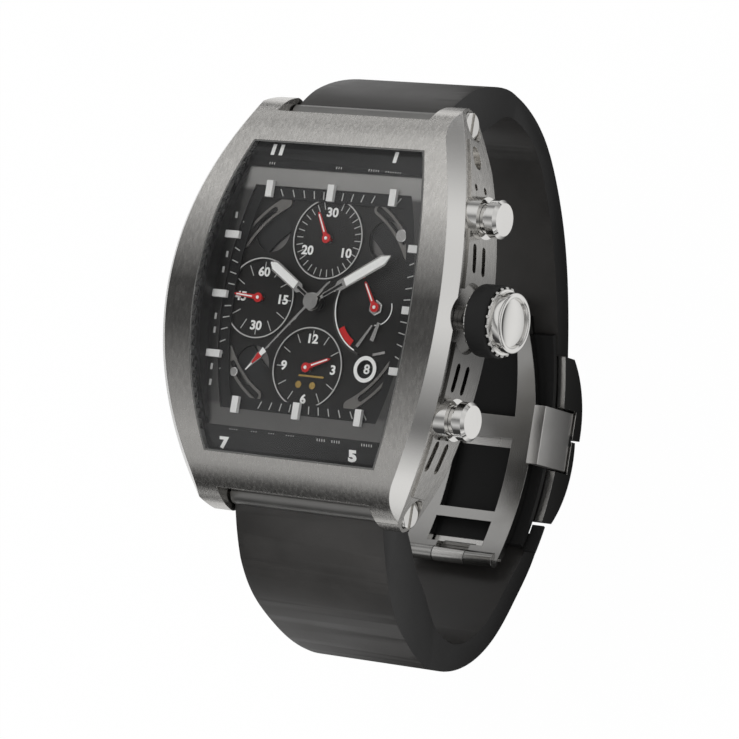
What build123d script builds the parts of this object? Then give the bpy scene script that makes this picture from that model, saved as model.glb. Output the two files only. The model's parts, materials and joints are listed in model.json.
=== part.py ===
from build123d import *
from math import cos, hypot, radians, sin, sqrt
import os

# A tonneau chronograph wristwatch on a rubber strap with a folding clasp.
# Millimetres, +Z out of the dial, +Y towards 12 o'clock, +X towards the crown.
# The origin is the middle of the case back's flat outer face.

os.makedirs("parts", exist_ok=True)

# Fits and overruns
overrun = 60.0
seat_gap = 0.05
air_gap = 0.3
running_gap = 0.05

# Case
case_crest = 12.8
camber_radius = 64.0
case_half_width = 19.9
case_end_half_width = 12.9
foot_half_width = 18.2
foot_end_half_width = 11.6
case_floor = 1.1
bezel_thickness = 2.0
bezel_bevel = 1.6
lug_radius = 2.1
lug_pin_z = 4.3
bay_half_width = 10.4
opening_half_width = 14.8
opening_end_half_width = 11.6
opening_half_length = 18.15
belly_inset = 0.65
shoulder_reach = 1.05
bay_reach = 3.85
lug_pin_reach = 4.05
blank_reach = 7.85
belly_half_length = opening_half_length - belly_inset
shoulder_y = opening_half_length + shoulder_reach
bay_front_y = opening_half_length + bay_reach
lug_pin_y = opening_half_length + lug_pin_reach
case_half_length = opening_half_length + blank_reach
cavity_undercut = 0.8
cavity_end_undercut = 1.0
cavity_ledge = 0.15
cavity_half_width = opening_half_width + cavity_undercut
cavity_end_half_width = opening_end_half_width + cavity_end_undercut
cavity_half_length = opening_half_length + cavity_ledge

# Side plates on the flanks
plate_reach = 2.25
plate_half_length = opening_half_length + plate_reach
plate_proud = 0.3
plate_depth = 0.9
plate_groove = 0.5
plate_foot_z = 2.2
plate_end_foot_z = 3.8
plate_foot_inset = 4.4
plate_foot_half_length = plate_half_length - plate_foot_inset
slot_width = 1.0
slot_upper_z = 8.1
slot_lower_z = 5.5
inner_slot_near_y = 5.1
inner_slot_far_y = 8.4
outer_slot_inset = 3.0
outer_slot_length = 3.5
outer_slot_far_y = plate_half_length - outer_slot_inset
outer_slot_near_y = outer_slot_far_y - outer_slot_length
plate_hole_radius = 0.4
lug_recess_length = 2.6

# Lug screws and the steel tubes that they hold
screw_head_radius = 1.65
screw_head_height = 1.0
screw_slot_width = 0.55
screw_slot_depth = 0.45
screw_shank_radius = 0.7
strap_tube_radius = 1.3
strap_tube_bore = 0.75
screw_head_x = 12.7
screw_shank_end = 4.0

# Case back
back_half_width = 15.9
back_end_half_width = 11.6
back_reach = 1.25
back_half_length = opening_half_length + back_reach
back_spigot_height = 0.7
back_window_radius = 12.2
back_crystal_radius = 13.0
back_crystal_thickness = 1.2
back_crystal_flange = 0.3
back_screw_head_radius = 0.75
back_screw_head_height = 0.45
back_screw_shank_radius = 0.4
back_screw_inset = 3.8
back_screw_y = back_half_length - back_screw_inset
back_screw_x = 11.6
back_screw_mid_x = 14.5
back_screw_mid_y = 5.2

# Crystal and dial furniture, by height
crystal_thickness = 1.2
crystal_edge_gap = 0.2
flange_top_gap = 0.05
rehaut_floor = 8.2
rehaut_width = 0.8
rehaut_end_flare = 0.3
rehaut_end_width = 3.15
rehaut_half_width = opening_half_width - rehaut_width
rehaut_end_half_width = opening_end_half_width + rehaut_end_flare
rehaut_half_length = opening_half_length - rehaut_end_width
inner_flange_width = 1.3
inner_flange_end_width = 2.1
inner_flange_half_width = rehaut_half_width - inner_flange_width
inner_flange_end_half_width = rehaut_end_half_width - inner_flange_width
inner_flange_half_length = rehaut_half_length - inner_flange_end_width
track_width = 1.3
track_end_inset = 0.9
track_end_width = 1.4
track_half_width = inner_flange_half_width - track_width
track_end_half_width = inner_flange_end_half_width - track_end_inset
track_half_length = inner_flange_half_length - track_end_width
track_floor = 8.86
track_thickness = 0.2
inner_flange_height = 0.5
marker_length = 1.9
marker_width = 0.85
marker_height = 0.5
marker_x = 8.4
marker_inset = 0.43
marker_y = inner_flange_half_length - marker_inset
side_marker_inset = 1.05
side_marker_step = 0.45
side_marker_x = rehaut_half_width - side_marker_inset
side_marker_end_x = side_marker_x - side_marker_step
side_marker_y = 6.9
dial_floor = 8.32
dial_thickness = 0.25
counter_radius = 4.7
counter_rim = 0.22
counter_height = 0.26
counter_y = 7.4
seconds_x = -8.0
reserve_x = 7.9
reserve_y = 0.1
reserve_scale_radius = 5.6
reserve_scale_width = 0.28
reserve_start_angle = 162.0
reserve_sweep = 92.0
window_x = 7.75
window_y = -6.9
window_radius = 1.5
window_bore = 1.05
petal_place = 7.7
petal_radius = 2.3
dial_bridge_outer = 13.5
dial_bridge_inner = 12.15
dial_bridge_sweep = 31.0
dial_bridge_slot = 0.7
dial_bridge_thickness = 0.25

# Movement
movement_radius = 14.0
skirt_inner_radius = 13.2
bridge_floor = 3.6
bridge_thickness = 0.9
plate_floor = 6.2
plate_top = 8.0
wheel_floor = 4.9
wheel_thickness = 0.2
wheel_step = 0.3
arbor_radius = 0.2
pivot_bore = 0.25
jewel_radius = 0.6
jewel_height = 0.3
bridge_gap = 0.3
train_edge_x = 1.6
cock_half_width = 1.6
movement_screw_radius = 0.55
movement_screw_height = 0.3
date_disc_outer = 12.6
date_disc_inner = 9.7
date_disc_floor = 8.08
date_disc_thickness = 0.16
centre_wheel_radius = 3.4
barrel_x = 5.6
barrel_y = -6.2
barrel_radius = 4.5
barrel_height = 1.1
third_x = -5.2
third_y = 4.3
third_radius = 2.5
fourth_radius = 2.1
escape_x = -7.0
escape_y = -4.6
escape_radius = 1.9
balance_x = -2.6
balance_y = -9.0
balance_radius = 3.4
tooth_depth = 0.28
rotor_radius = 12.7
rotor_rim = 2.2
rotor_floor = 2.1
rotor_rim_height = 0.95
rotor_web_floor = 2.4
rotor_web_height = 0.4
rotor_hub_radius = 2.6
rotor_bearing_radius = 1.2
rotor_screw_radius = 1.7
rotor_screw_height = 0.25

# Hands
hand_thickness = 0.16
hour_hand_z = 9.4
minute_hand_z = 9.75
chrono_hand_z = 10.1
counter_hand_z = 9.05
minute_pipe_radius = 0.45
hour_pipe_radius = 0.72
centre_bore = 0.85
hour_hand_length = 7.9
minute_hand_length = 11.2
chrono_hand_length = 11.3
chrono_tail_length = 3.2
hand_width = 1.35
counter_hand_length = 3.3
hub_radius = 1.05
small_hub_radius = 0.55
hour_hand_angle = 148.5
minute_hand_angle = 32.0
chrono_hand_angle = 229.0
minute_counter_angle = 118.0
hour_counter_angle = 22.0
small_seconds_angle = 176.0
reserve_hand_angle = 122.0

# Crown, stem and pushers, all on one level
crown_z = 7.6
crown_inner_x = 20.4
crown_outer_x = 24.9
crown_radius = 3.8
crown_core_radius = 3.0
crown_inner_radius = 3.2
crown_inner_width = 0.6
crown_disc_width = 1.2
crown_dome = 0.4
crown_bore_depth = 1.3
grip_radius = 4.1
grip_notches = 24
grip_notch_radius = 0.2
crown_stud_radius = 0.22
crown_tube_radius = 1.4
crown_tube_bore = 0.5
pocket_radius = 4.0
pocket_floor_x = 18.6
stem_radius = 0.4
stem_square = 0.56
stem_inner_x = 4.4
stem_round_x = 11.0
clutch_radius = 0.68
clutch_start_x = 5.1
clutch_length = 2.2
clutch_tunnel_radius = 0.76
stem_tunnel_radius = 0.5
pusher_y = 11.4
pusher_travel = 0.8
pusher_cap_radius = 2.2
pusher_cap_length = 1.35
pusher_crown_bevel = 0.35
drum_radius = 2.4
drum_inner_x = 17.6
drum_outer_x = 19.6
drum_bore_radius = 1.75
drum_floor_x = 17.85
pusher_tube_radius = 1.3
pusher_tube_bore = 0.62
pusher_tube_inner_x = 15.2
pusher_stem_radius = 0.57
pusher_stem_end_x = 14.2
pusher_neck_x = 19.25
spring_wire = 0.35

# Strap loop, seen along X: how far each half reaches and how deep the loop hangs
strap_root_half_width = 10.15
strap_half_width = 8.4
strap_taper_top_z = 1.5
strap_taper_end_z = -13.0
front_swell = 7.2
rear_swell = 16.5
front_reach = lug_pin_y + front_swell
rear_reach = lug_pin_y + rear_swell
loop_depth = 34.3
strap_root_thickness = 6.8
strap_mid_thickness = 2.8
strap_pin_radius = 0.5
strap_pin_half_length = 7.4

# Folding clasp
clasp_y = -9.5
clasp_arc_radius = 30.0
clasp_rise = 2.4
clasp_mid_z = clasp_rise - loop_depth
bow_thickness = 1.0
blade_thickness = 0.8
blade_gap = 0.3
hinge_reach = 15.0
knuckle_radius = 0.9
hinge_pin_radius = 0.4
bow_half_width = 6.8
bow_end_half_width = 5.2
bow_rail = 1.3
bow_window_gap = 1.6
bow_bar_front_y = -6.7
bow_bar_rear_y = -9.4
thin_bar_front_y = -18.5
thin_bar_rear_y = -19.8
knuckle_half_width = 2.2
cover_half_width = 9.4
cover_split_y = -8.45
cover_split_gap = 0.3
cover_front_y = 1.2
cover_tail = 2.1915
rear_end_share = 0.545
cover_rear_y = cover_tail - rear_end_share * rear_reach
cover_crest_drop = 3.8
cover_crest_z = -loop_depth - cover_crest_drop
cover_step = 1.0
cover_end_thickness = 2.3
cover_bulge = 1.3
button_inner_x = 7.6
button_outer_x = 9.2
button_front_y = -5.2
button_rear_y = -12.3
button_top_rise = 5.1
button_low_drop = 1.7
button_top_z = button_top_rise - loop_depth
button_low_z = -loop_depth - button_low_drop
button_travel = 0.6
button_pin_y = -7.0
button_pin_drop = 1.0
button_pin_z = -loop_depth - button_pin_drop
button_pin_radius = 0.45
button_pin_end_x = 3.2
button_bore = 0.95
button_spring_end_x = 6.2
button_spring_start_x = 1.2


def tonneau(plane, half_width, end_half_width, half_length):
    """A barrel-shaped face with two bowed sides and two straight ends."""
    with BuildSketch(plane) as face:
        with BuildLine():
            right = ThreePointArc((end_half_width, -half_length), (half_width, 0), (end_half_width, half_length))
            left = ThreePointArc((-end_half_width, half_length), (-half_width, 0), (-end_half_width, -half_length))
            Line(right @ 1, left @ 0)
            Line(left @ 1, right @ 0)
        make_face()
    return face.sketch


def camber_z(y, depth=0.0):
    """Height of the cambered front at y, a given depth under it."""
    radius = camber_radius - depth
    return case_crest - depth - radius + sqrt(radius**2 - y**2)


def under_camber(depth, floor, reach):
    """Side view of the space under the cambered front, from a floor up."""
    with BuildSketch(Plane.YZ) as face:
        with BuildLine():
            end_z = camber_z(reach, depth)
            top = ThreePointArc((-reach, end_z), (0, case_crest - depth), (reach, end_z))
            Polyline(top @ 1, (reach, floor), (-reach, floor), top @ 0)
        make_face()
    return face.sketch


def case_side():
    """Side view of the whole case: cambered top, rounded ends, round lug tips, flat belly."""
    with BuildSketch(Plane.YZ) as face:
        with BuildLine():
            shoulder_z = camber_z(shoulder_y)
            tip_y = lug_pin_y + lug_radius
            low_z = lug_pin_z - lug_radius
            slope = -shoulder_y / (shoulder_z - case_crest + camber_radius)
            top = ThreePointArc((-shoulder_y, shoulder_z), (0, case_crest), (shoulder_y, shoulder_z))
            end_round = TangentArc((shoulder_y, shoulder_z), (tip_y, lug_pin_z), tangent=(camber_radius,
                                                                                         camber_radius * slope))
            tip_low = RadiusArc(end_round @ 1, (lug_pin_y, low_z), lug_radius)
            belly = Polyline(tip_low @ 1, (belly_half_length, case_floor), (-belly_half_length, case_floor),
                             (-lug_pin_y, low_z))
            tip_rear = RadiusArc(belly @ 1, (-tip_y, lug_pin_z), lug_radius)
            TangentArc((-shoulder_y, shoulder_z), tip_rear @ 1, tangent=(-camber_radius, camber_radius * slope))
        make_face()
    return face.sketch


def flank_block(growth):
    """The case's tapering outline as a solid, grown outwards by a distance."""
    stretch = 1 + lug_radius / (case_crest - case_floor)
    head_half_width = foot_half_width + (case_half_width - foot_half_width) * stretch
    head_end_half_width = foot_end_half_width + (case_end_half_width - foot_end_half_width) * stretch
    with BuildPart() as block:
        foot = tonneau(Plane.XY.offset(case_floor), foot_half_width + growth,
                       foot_end_half_width + growth, case_half_length)
        head = tonneau(Plane.XY.offset(case_crest + lug_radius), head_half_width + growth,
                       head_end_half_width + growth, case_half_length)
        loft(sections=[foot, head])
    return block.part


def strap_bay():
    """Side view of the room that each strap root needs between its lugs."""
    low = -overrun
    wall_y = lug_pin_y - strap_tube_radius - air_gap
    with BuildSketch(Plane.YZ) as face:
        with BuildLine():
            Polyline((bay_front_y, overrun), (overrun, overrun), (overrun, low), (bay_front_y, low), close=True)
        make_face()
        with BuildLine():
            Polyline((wall_y, lug_pin_z), (overrun, lug_pin_z), (overrun, low), (wall_y, low), close=True)
        make_face()
        with Locations((lug_pin_y, lug_pin_z)):
            Circle(strap_tube_radius + air_gap)
        mirror(about=Plane.YZ)
    return face.sketch


def side_plane(x, y, z):
    """A plane that faces away from the case along X."""
    return Plane(origin=(x, y, z), x_dir=(0, 1, 0), z_dir=(1, 0, 0))


def polar(radius, angle, centre=(0, 0)):
    """A point at an angle in degrees, counted from +X towards +Y."""
    return (centre[0] + radius * cos(radians(angle)), centre[1] + radius * sin(radians(angle)))


def save(part, name):
    part.label = name
    export_step(part, "parts/" + name + ".step")


# Case middle
with BuildPart() as case_middle:
    add(flank_block(0))
    extrude(case_side(), amount=overrun, both=True, mode=Mode.INTERSECT)
    extrude(under_camber(bezel_thickness, -overrun, case_half_length), amount=overrun, both=True,
            mode=Mode.INTERSECT)
    cavity = tonneau(Plane.XY, cavity_half_width, cavity_end_half_width, cavity_half_length)
    extrude(cavity, amount=overrun, mode=Mode.SUBTRACT)
    extrude(strap_bay(), amount=bay_half_width, both=True, mode=Mode.SUBTRACT)

# Bezel
with BuildPart() as bezel:
    add(flank_block(0))
    extrude(under_camber(0, -overrun, case_half_length), amount=overrun, both=True, mode=Mode.INTERSECT)
    front_edges = bezel.edges().filter_by(lambda edge: edge.length > case_half_length and edge.center().Z > crown_z)
    chamfer(front_edges.filter_by(GeomType.LINE, reverse=True), bezel_bevel)
    extrude(case_side(), amount=overrun, both=True, mode=Mode.INTERSECT)
    extrude(under_camber(bezel_thickness, -overrun, case_half_length), amount=overrun, both=True,
            mode=Mode.SUBTRACT)
    opening = tonneau(Plane.XY, opening_half_width, opening_end_half_width, opening_half_length)
    extrude(opening, amount=overrun, mode=Mode.SUBTRACT)
    extrude(strap_bay(), amount=bay_half_width, both=True, mode=Mode.SUBTRACT)


def side_plate_face():
    """Side view of a flank plate: cambered top edge, stepped foot."""
    depth = bezel_thickness + plate_groove
    end_z = camber_z(plate_half_length, depth)
    with BuildSketch(Plane.YZ) as face:
        with BuildLine():
            top = ThreePointArc((-plate_half_length, end_z), (0, case_crest - depth), (plate_half_length, end_z))
            Polyline(top @ 1, (plate_half_length, plate_end_foot_z), (plate_foot_half_length, plate_foot_z),
                     (-plate_foot_half_length, plate_foot_z), (-plate_half_length, plate_end_foot_z), top @ 0)
        make_face()
    return face.sketch


def side_plate(reach):
    """A flank plate, on the crown side for a positive reach."""
    with BuildPart() as plate:
        extrude(side_plate_face(), amount=reach)
        add(flank_block(plate_proud), mode=Mode.INTERSECT)
        add(flank_block(-plate_depth), mode=Mode.SUBTRACT)
        with BuildSketch(Plane.YZ):
            slot_rows = [slot_upper_z, slot_lower_z]
            inner_length = inner_slot_far_y - inner_slot_near_y
            outer_length = outer_slot_far_y - outer_slot_near_y
            for z in slot_rows:
                with Locations(((inner_slot_near_y + inner_slot_far_y) / 2, z),
                               (-(inner_slot_near_y + inner_slot_far_y) / 2, z)):
                    SlotOverall(inner_length, slot_width)
            for z in slot_rows:
                with Locations((-(outer_slot_near_y + outer_slot_far_y) / 2, z - slot_width)):
                    SlotOverall(outer_length, slot_width)
                with Locations((outer_slot_near_y + slot_width, z - slot_width)):
                    Circle(plate_hole_radius)
            with Locations((outer_slot_far_y + slot_width, (slot_upper_z + slot_lower_z) / 2 - slot_width)):
                SlotOverall(lug_recess_length, slot_width * 2)
        extrude(amount=reach, mode=Mode.SUBTRACT)
    return plate.part


def plate_seat(reach):
    """The pocket that a flank plate fills in the case middle."""
    with BuildPart() as seat:
        extrude(side_plate_face(), amount=reach)
        add(flank_block(-plate_depth), mode=Mode.SUBTRACT)
    return seat.part


def side_rod(x_start, x_end, y, z, radius):
    """A round rod along X."""
    with BuildPart() as rod:
        with BuildSketch(side_plane(x_start, y, z)):
            Circle(radius)
        extrude(amount=x_end - x_start)
    return rod.part


side_plate_crown = side_plate(overrun)
side_plate_left = side_plate(-overrun)
crown_pocket = side_rod(pocket_floor_x, overrun, 0, crown_z, pocket_radius)
drum_seats = [side_rod(drum_inner_x, overrun, side * pusher_y, crown_z, drum_radius) for side in (1, -1)]
tube_bores = [side_rod(0, overrun, side * pusher_y, crown_z, pusher_tube_radius) for side in (1, -1)]
crown_bore = side_rod(0, overrun, 0, crown_z, crown_tube_radius)
screw_seats = [side_rod(side * screw_head_x, side * overrun, end * lug_pin_y, lug_pin_z,
                        screw_head_radius + seat_gap) for side in (1, -1) for end in (1, -1)]
screw_bores = [side_rod(-overrun, overrun, end * lug_pin_y, lug_pin_z, screw_shank_radius + seat_gap)
               for end in (1, -1)]

with BuildPart() as case_body:
    add(case_middle.part)
    add([plate_seat(overrun), plate_seat(-overrun)], mode=Mode.SUBTRACT)
    add([crown_pocket, crown_bore] + drum_seats + tube_bores + screw_seats + screw_bores, mode=Mode.SUBTRACT)
save(case_body.part, "case_middle")

with BuildPart() as bezel_body:
    add(bezel.part)
    add([crown_pocket] + drum_seats + screw_seats, mode=Mode.SUBTRACT)
save(bezel_body.part, "bezel")

with BuildPart() as crown_plate_body:
    add(side_plate_crown)
    add([crown_pocket, crown_bore] + drum_seats + tube_bores + screw_seats, mode=Mode.SUBTRACT)
save(crown_plate_body.part, "side_plate_crown")

with BuildPart() as left_plate_body:
    add(side_plate_left)
    add(screw_seats, mode=Mode.SUBTRACT)
save(left_plate_body.part, "side_plate_left")


def lug_screw(side, end):
    """A slotted screw through a lug into the strap tube."""
    head_plane = Plane(origin=(side * screw_head_x, end * lug_pin_y, lug_pin_z), x_dir=(0, 1, 0),
                       z_dir=(side, 0, 0))
    with BuildPart() as screw:
        with BuildSketch(head_plane):
            Circle(screw_head_radius)
        extrude(amount=screw_head_height)
        fillet(screw.faces().sort_by(Axis.X)[-1 if side > 0 else 0].edges(), screw_slot_depth / 2)
        with BuildSketch(head_plane.offset(screw_head_height - screw_slot_depth)):
            Rectangle(screw_head_radius * 2 + seat_gap, screw_slot_width)
        extrude(amount=screw_head_height, mode=Mode.SUBTRACT)
        with BuildSketch(head_plane):
            Circle(screw_shank_radius)
        extrude(amount=-(screw_head_x - screw_shank_end))
    return screw.part


with BuildPart() as lug_screws:
    add([lug_screw(side, end) for side in (1, -1) for end in (1, -1)])
save(lug_screws.part, "lug_screws")

# Case back with its window crystal, screws and the seals
back_screw_places = [(x * back_screw_x, y * back_screw_y) for x in (1, -1) for y in (1, -1)]
back_screw_places += [(x * back_screw_mid_x, y * back_screw_mid_y) for x in (1, -1) for y in (1, -1)]
spigot_half_width = cavity_half_width - seat_gap
spigot_end_half_width = cavity_end_half_width - seat_gap
spigot_half_length = cavity_half_length - seat_gap
with BuildPart() as case_back:
    extrude(tonneau(Plane.XY, back_half_width, back_end_half_width, back_half_length), amount=case_floor)
    extrude(tonneau(Plane.XY.offset(case_floor), spigot_half_width, spigot_end_half_width, spigot_half_length),
            amount=back_spigot_height)
    with BuildSketch():
        Circle(back_window_radius)
    extrude(amount=overrun, mode=Mode.SUBTRACT)
    with BuildSketch(Plane.XY.offset(back_crystal_flange)):
        Circle(back_crystal_radius)
    extrude(amount=overrun, mode=Mode.SUBTRACT)
    with BuildSketch():
        with Locations(*back_screw_places):
            Circle(back_screw_head_radius)
    extrude(amount=back_screw_head_height, mode=Mode.SUBTRACT)
    with BuildSketch():
        with Locations(*back_screw_places):
            Circle(back_screw_shank_radius)
    extrude(amount=overrun, mode=Mode.SUBTRACT)
save(case_back.part, "case_back")

with BuildPart() as back_crystal:
    with BuildSketch():
        Circle(back_window_radius)
    extrude(amount=back_crystal_flange)
    with BuildSketch(Plane.XY.offset(back_crystal_flange)):
        Circle(back_crystal_radius)
    extrude(amount=back_crystal_thickness - back_crystal_flange)
save(back_crystal.part, "back_crystal")

with BuildPart() as case_back_screws:
    with BuildSketch():
        with Locations(*back_screw_places):
            Circle(back_screw_head_radius)
    extrude(amount=back_screw_head_height)
    with BuildSketch():
        with Locations(*back_screw_places):
            Circle(back_screw_shank_radius)
    extrude(amount=case_floor + back_spigot_height)
    with BuildSketch():
        with Locations(*back_screw_places):
            Rectangle(back_screw_head_radius * 2, screw_slot_depth / 2)
    extrude(amount=back_screw_head_height / 2, mode=Mode.SUBTRACT)
save(case_back_screws.part, "case_back_screws")

# Crystal, its seal, and the sloping flange that it rests on
with BuildPart() as crystal:
    glass = tonneau(Plane.XY, opening_half_width - crystal_edge_gap, opening_end_half_width - crystal_edge_gap,
                    opening_half_length - crystal_edge_gap)
    extrude(glass, amount=overrun)
    extrude(under_camber(0, -overrun, case_half_length), amount=overrun, both=True, mode=Mode.INTERSECT)
    extrude(under_camber(crystal_thickness, -overrun, case_half_length), amount=overrun, both=True,
            mode=Mode.SUBTRACT)
save(crystal.part, "crystal")

with BuildPart() as crystal_seal:
    extrude(tonneau(Plane.XY, opening_half_width, opening_end_half_width, opening_half_length), amount=overrun)
    extrude(tonneau(Plane.XY, opening_half_width - crystal_edge_gap, opening_end_half_width - crystal_edge_gap,
                    opening_half_length - crystal_edge_gap), amount=overrun, mode=Mode.SUBTRACT)
    extrude(under_camber(flange_top_gap, -overrun, case_half_length), amount=overrun, both=True,
            mode=Mode.INTERSECT)
    extrude(under_camber(crystal_thickness, -overrun, case_half_length), amount=overrun, both=True,
            mode=Mode.SUBTRACT)
save(crystal_seal.part, "crystal_seal")

with BuildPart() as rehaut:
    extrude(tonneau(Plane.XY.offset(rehaut_floor), opening_half_width - seat_gap,
                    opening_end_half_width - seat_gap, opening_half_length - seat_gap), amount=overrun)
    extrude(under_camber(crystal_thickness, -overrun, case_half_length), amount=overrun, both=True,
            mode=Mode.INTERSECT)
    extrude(tonneau(Plane.XY, rehaut_half_width, rehaut_end_half_width, rehaut_half_length), amount=overrun,
            mode=Mode.SUBTRACT)
save(rehaut.part, "rehaut")

with BuildPart() as inner_flange:
    extrude(tonneau(Plane.XY.offset(track_floor), rehaut_half_width, rehaut_end_half_width, rehaut_half_length),
            amount=inner_flange_height)
    extrude(tonneau(Plane.XY, inner_flange_half_width, inner_flange_end_half_width, inner_flange_half_length),
            amount=overrun, mode=Mode.SUBTRACT)
save(inner_flange.part, "inner_flange")

with BuildPart() as minute_track:
    extrude(tonneau(Plane.XY.offset(track_floor), inner_flange_half_width, inner_flange_end_half_width,
                    inner_flange_half_length), amount=track_thickness)
    extrude(tonneau(Plane.XY, track_half_width, track_end_half_width, track_half_length), amount=overrun,
            mode=Mode.SUBTRACT)
save(minute_track.part, "minute_track")

with BuildPart() as hour_markers:
    marker_z = track_floor + inner_flange_height
    with BuildSketch(Plane.XY.offset(marker_z)):
        with Locations(*[(x * marker_x, y * marker_y) for x in (-1, 0, 1) for y in (1, -1)]):
            Rectangle(marker_width, marker_length)
        with Locations((side_marker_x, 0), (-side_marker_x, 0)):
            Rectangle(marker_length, marker_width)
        with Locations(*[(x * side_marker_end_x, y * side_marker_y) for x in (1, -1) for y in (1, -1)]):
            Rectangle(marker_length, marker_width)
    extrude(amount=marker_height)
save(hour_markers.part, "hour_markers")

# Open-worked dial plate, its raised corner bridges and the counter rings
counter_places = [(0, counter_y), (0, -counter_y), (seconds_x, 0)]
with BuildPart() as dial_plate:
    extrude(tonneau(Plane.XY.offset(dial_floor), rehaut_half_width, rehaut_end_half_width, rehaut_half_length),
            amount=dial_thickness)
    with BuildSketch(Plane.XY.offset(dial_floor)):
        with Locations((-petal_place, petal_place), (petal_place, petal_place), (-petal_place, -petal_place)):
            Circle(petal_radius)
        with Locations((window_x, window_y)):
            Circle(window_bore)
        Circle(centre_bore)
        with Locations(*counter_places):
            Circle(small_hub_radius)
        with Locations((reserve_x, reserve_y)):
            Circle(pivot_bore)
    extrude(amount=dial_thickness, mode=Mode.SUBTRACT)
save(dial_plate.part, "dial_plate")


def dial_bridge(angle):
    """A raised arc with a long slot, at one corner of the dial."""
    start = angle - dial_bridge_sweep / 2
    middle = (dial_bridge_outer + dial_bridge_inner) / 2
    with BuildPart() as bridge_arc:
        with BuildSketch(Plane.XY.offset(dial_floor + dial_thickness)):
            SlotArc(arc=CenterArc((0, 0), middle, start, dial_bridge_sweep, mode=Mode.PRIVATE),
                    height=dial_bridge_outer - dial_bridge_inner)
            SlotArc(arc=CenterArc((0, 0), middle, start + dial_bridge_sweep / 4, dial_bridge_sweep * 0.75,
                                  mode=Mode.PRIVATE), height=dial_bridge_slot, mode=Mode.SUBTRACT)
        extrude(amount=dial_bridge_thickness)
    return bridge_arc.part


with BuildPart() as dial_bridges:
    add([dial_bridge(angle) for angle in (45, 135, 225, 315)])
save(dial_bridges.part, "dial_bridges")

with BuildPart() as counter_rings:
    with BuildSketch(Plane.XY.offset(dial_floor + dial_thickness)):
        with Locations(*counter_places):
            Circle(counter_radius)
            Circle(counter_radius - counter_rim, mode=Mode.SUBTRACT)
        with Locations((window_x, window_y)):
            Circle(window_radius)
            Circle(window_bore, mode=Mode.SUBTRACT)
    extrude(amount=counter_height)
    with BuildSketch(Plane.XY.offset(dial_floor + dial_thickness)):
        SlotArc(arc=CenterArc((reserve_x, reserve_y), reserve_scale_radius, reserve_start_angle, reserve_sweep,
                              mode=Mode.PRIVATE), height=reserve_scale_width)
    extrude(amount=counter_height)
save(counter_rings.part, "counter_rings")

# Movement holder and main plate
with BuildPart() as movement_holder:
    holder_floor = case_floor + back_spigot_height
    extrude(tonneau(Plane.XY.offset(holder_floor), spigot_half_width, spigot_end_half_width,
                    spigot_half_length), amount=rehaut_floor - holder_floor)
    extrude(under_camber(bezel_thickness + seat_gap, -overrun, case_half_length), amount=overrun, both=True,
            mode=Mode.INTERSECT)
    with BuildSketch():
        Circle(movement_radius)
    extrude(amount=overrun, mode=Mode.SUBTRACT)
    add([side_rod(0, overrun, side * pusher_y, crown_z, pusher_tube_radius + seat_gap) for side in (1, -1)],
        mode=Mode.SUBTRACT)
    add(side_rod(0, overrun, 0, crown_z, stem_tunnel_radius), mode=Mode.SUBTRACT)
save(movement_holder.part, "movement_holder")

wheel_places = [(0, 0), (barrel_x, barrel_y), (third_x, third_y), (seconds_x, 0), (escape_x, escape_y),
                (balance_x, balance_y)]
with BuildPart() as main_plate:
    with BuildSketch(Plane.XY.offset(plate_floor)):
        Circle(movement_radius - seat_gap)
    extrude(amount=plate_top - plate_floor)
    skirt_floor = bridge_floor + bridge_thickness
    with BuildSketch(Plane.XY.offset(skirt_floor)):
        Circle(movement_radius - seat_gap)
        Circle(skirt_inner_radius, mode=Mode.SUBTRACT)
    extrude(amount=plate_floor - skirt_floor)
    with BuildSketch(Plane.XY.offset(plate_floor)):
        Circle(minute_pipe_radius + running_gap)
        with Locations(*wheel_places[1:]):
            Circle(pivot_bore)
        with Locations(*counter_places):
            Circle(pivot_bore)
    extrude(amount=plate_top - plate_floor, mode=Mode.SUBTRACT)
    add(side_rod(stem_inner_x - crown_inner_width, clutch_start_x + clutch_length + air_gap, 0, crown_z,
                 clutch_tunnel_radius), mode=Mode.SUBTRACT)
    add(side_rod(clutch_start_x, overrun, 0, crown_z, stem_tunnel_radius), mode=Mode.SUBTRACT)
save(main_plate.part, "main_plate")


def bridge_blank():
    with BuildPart() as blank:
        with BuildSketch(Plane.XY.offset(bridge_floor)):
            Circle(movement_radius - seat_gap)
        extrude(amount=bridge_thickness)
    return blank.part


def bridge(name, points, places):
    """A bridge cut from the round blank, with bores for its pivots."""
    with BuildPart() as piece:
        with BuildSketch(Plane.XY.offset(bridge_floor)):
            with BuildLine():
                Polyline(*points, close=True)
            make_face()
        extrude(amount=bridge_thickness)
        add(bridge_blank(), mode=Mode.INTERSECT)
        with BuildSketch(Plane.XY.offset(bridge_floor)):
            with Locations(*places):
                Circle(jewel_radius)
        extrude(amount=bridge_thickness, mode=Mode.SUBTRACT)
    return piece


rim = movement_radius
cock_edge = balance_x + cock_half_width
cock_far_edge = balance_x - cock_half_width
balance_top_y = balance_y + cock_half_width
escape_low_y = escape_y - escape_radius
barrel_bridge = bridge("barrel_bridge",
                       [(-train_edge_x, rim), (rim, rim), (rim, -rim), (cock_edge + bridge_gap, -rim),
                        (cock_edge + bridge_gap, -train_edge_x * 3), (-train_edge_x, -train_edge_x)],
                       wheel_places[:2])
with BuildPart() as barrel_bridge_body:
    add(barrel_bridge.part)
    with BuildSketch(Plane.XY.offset(bridge_floor)):
        Circle(rotor_bearing_radius)
    extrude(amount=-(bridge_floor - rotor_floor))
save(barrel_bridge_body.part, "barrel_bridge")

train_bridge = bridge("train_bridge",
                      [(-train_edge_x - bridge_gap, rim), (-rim, rim), (-rim, escape_low_y),
                       (-train_edge_x - bridge_gap, escape_low_y)],
                      wheel_places[2:5])
save(train_bridge.part, "train_bridge")

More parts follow.
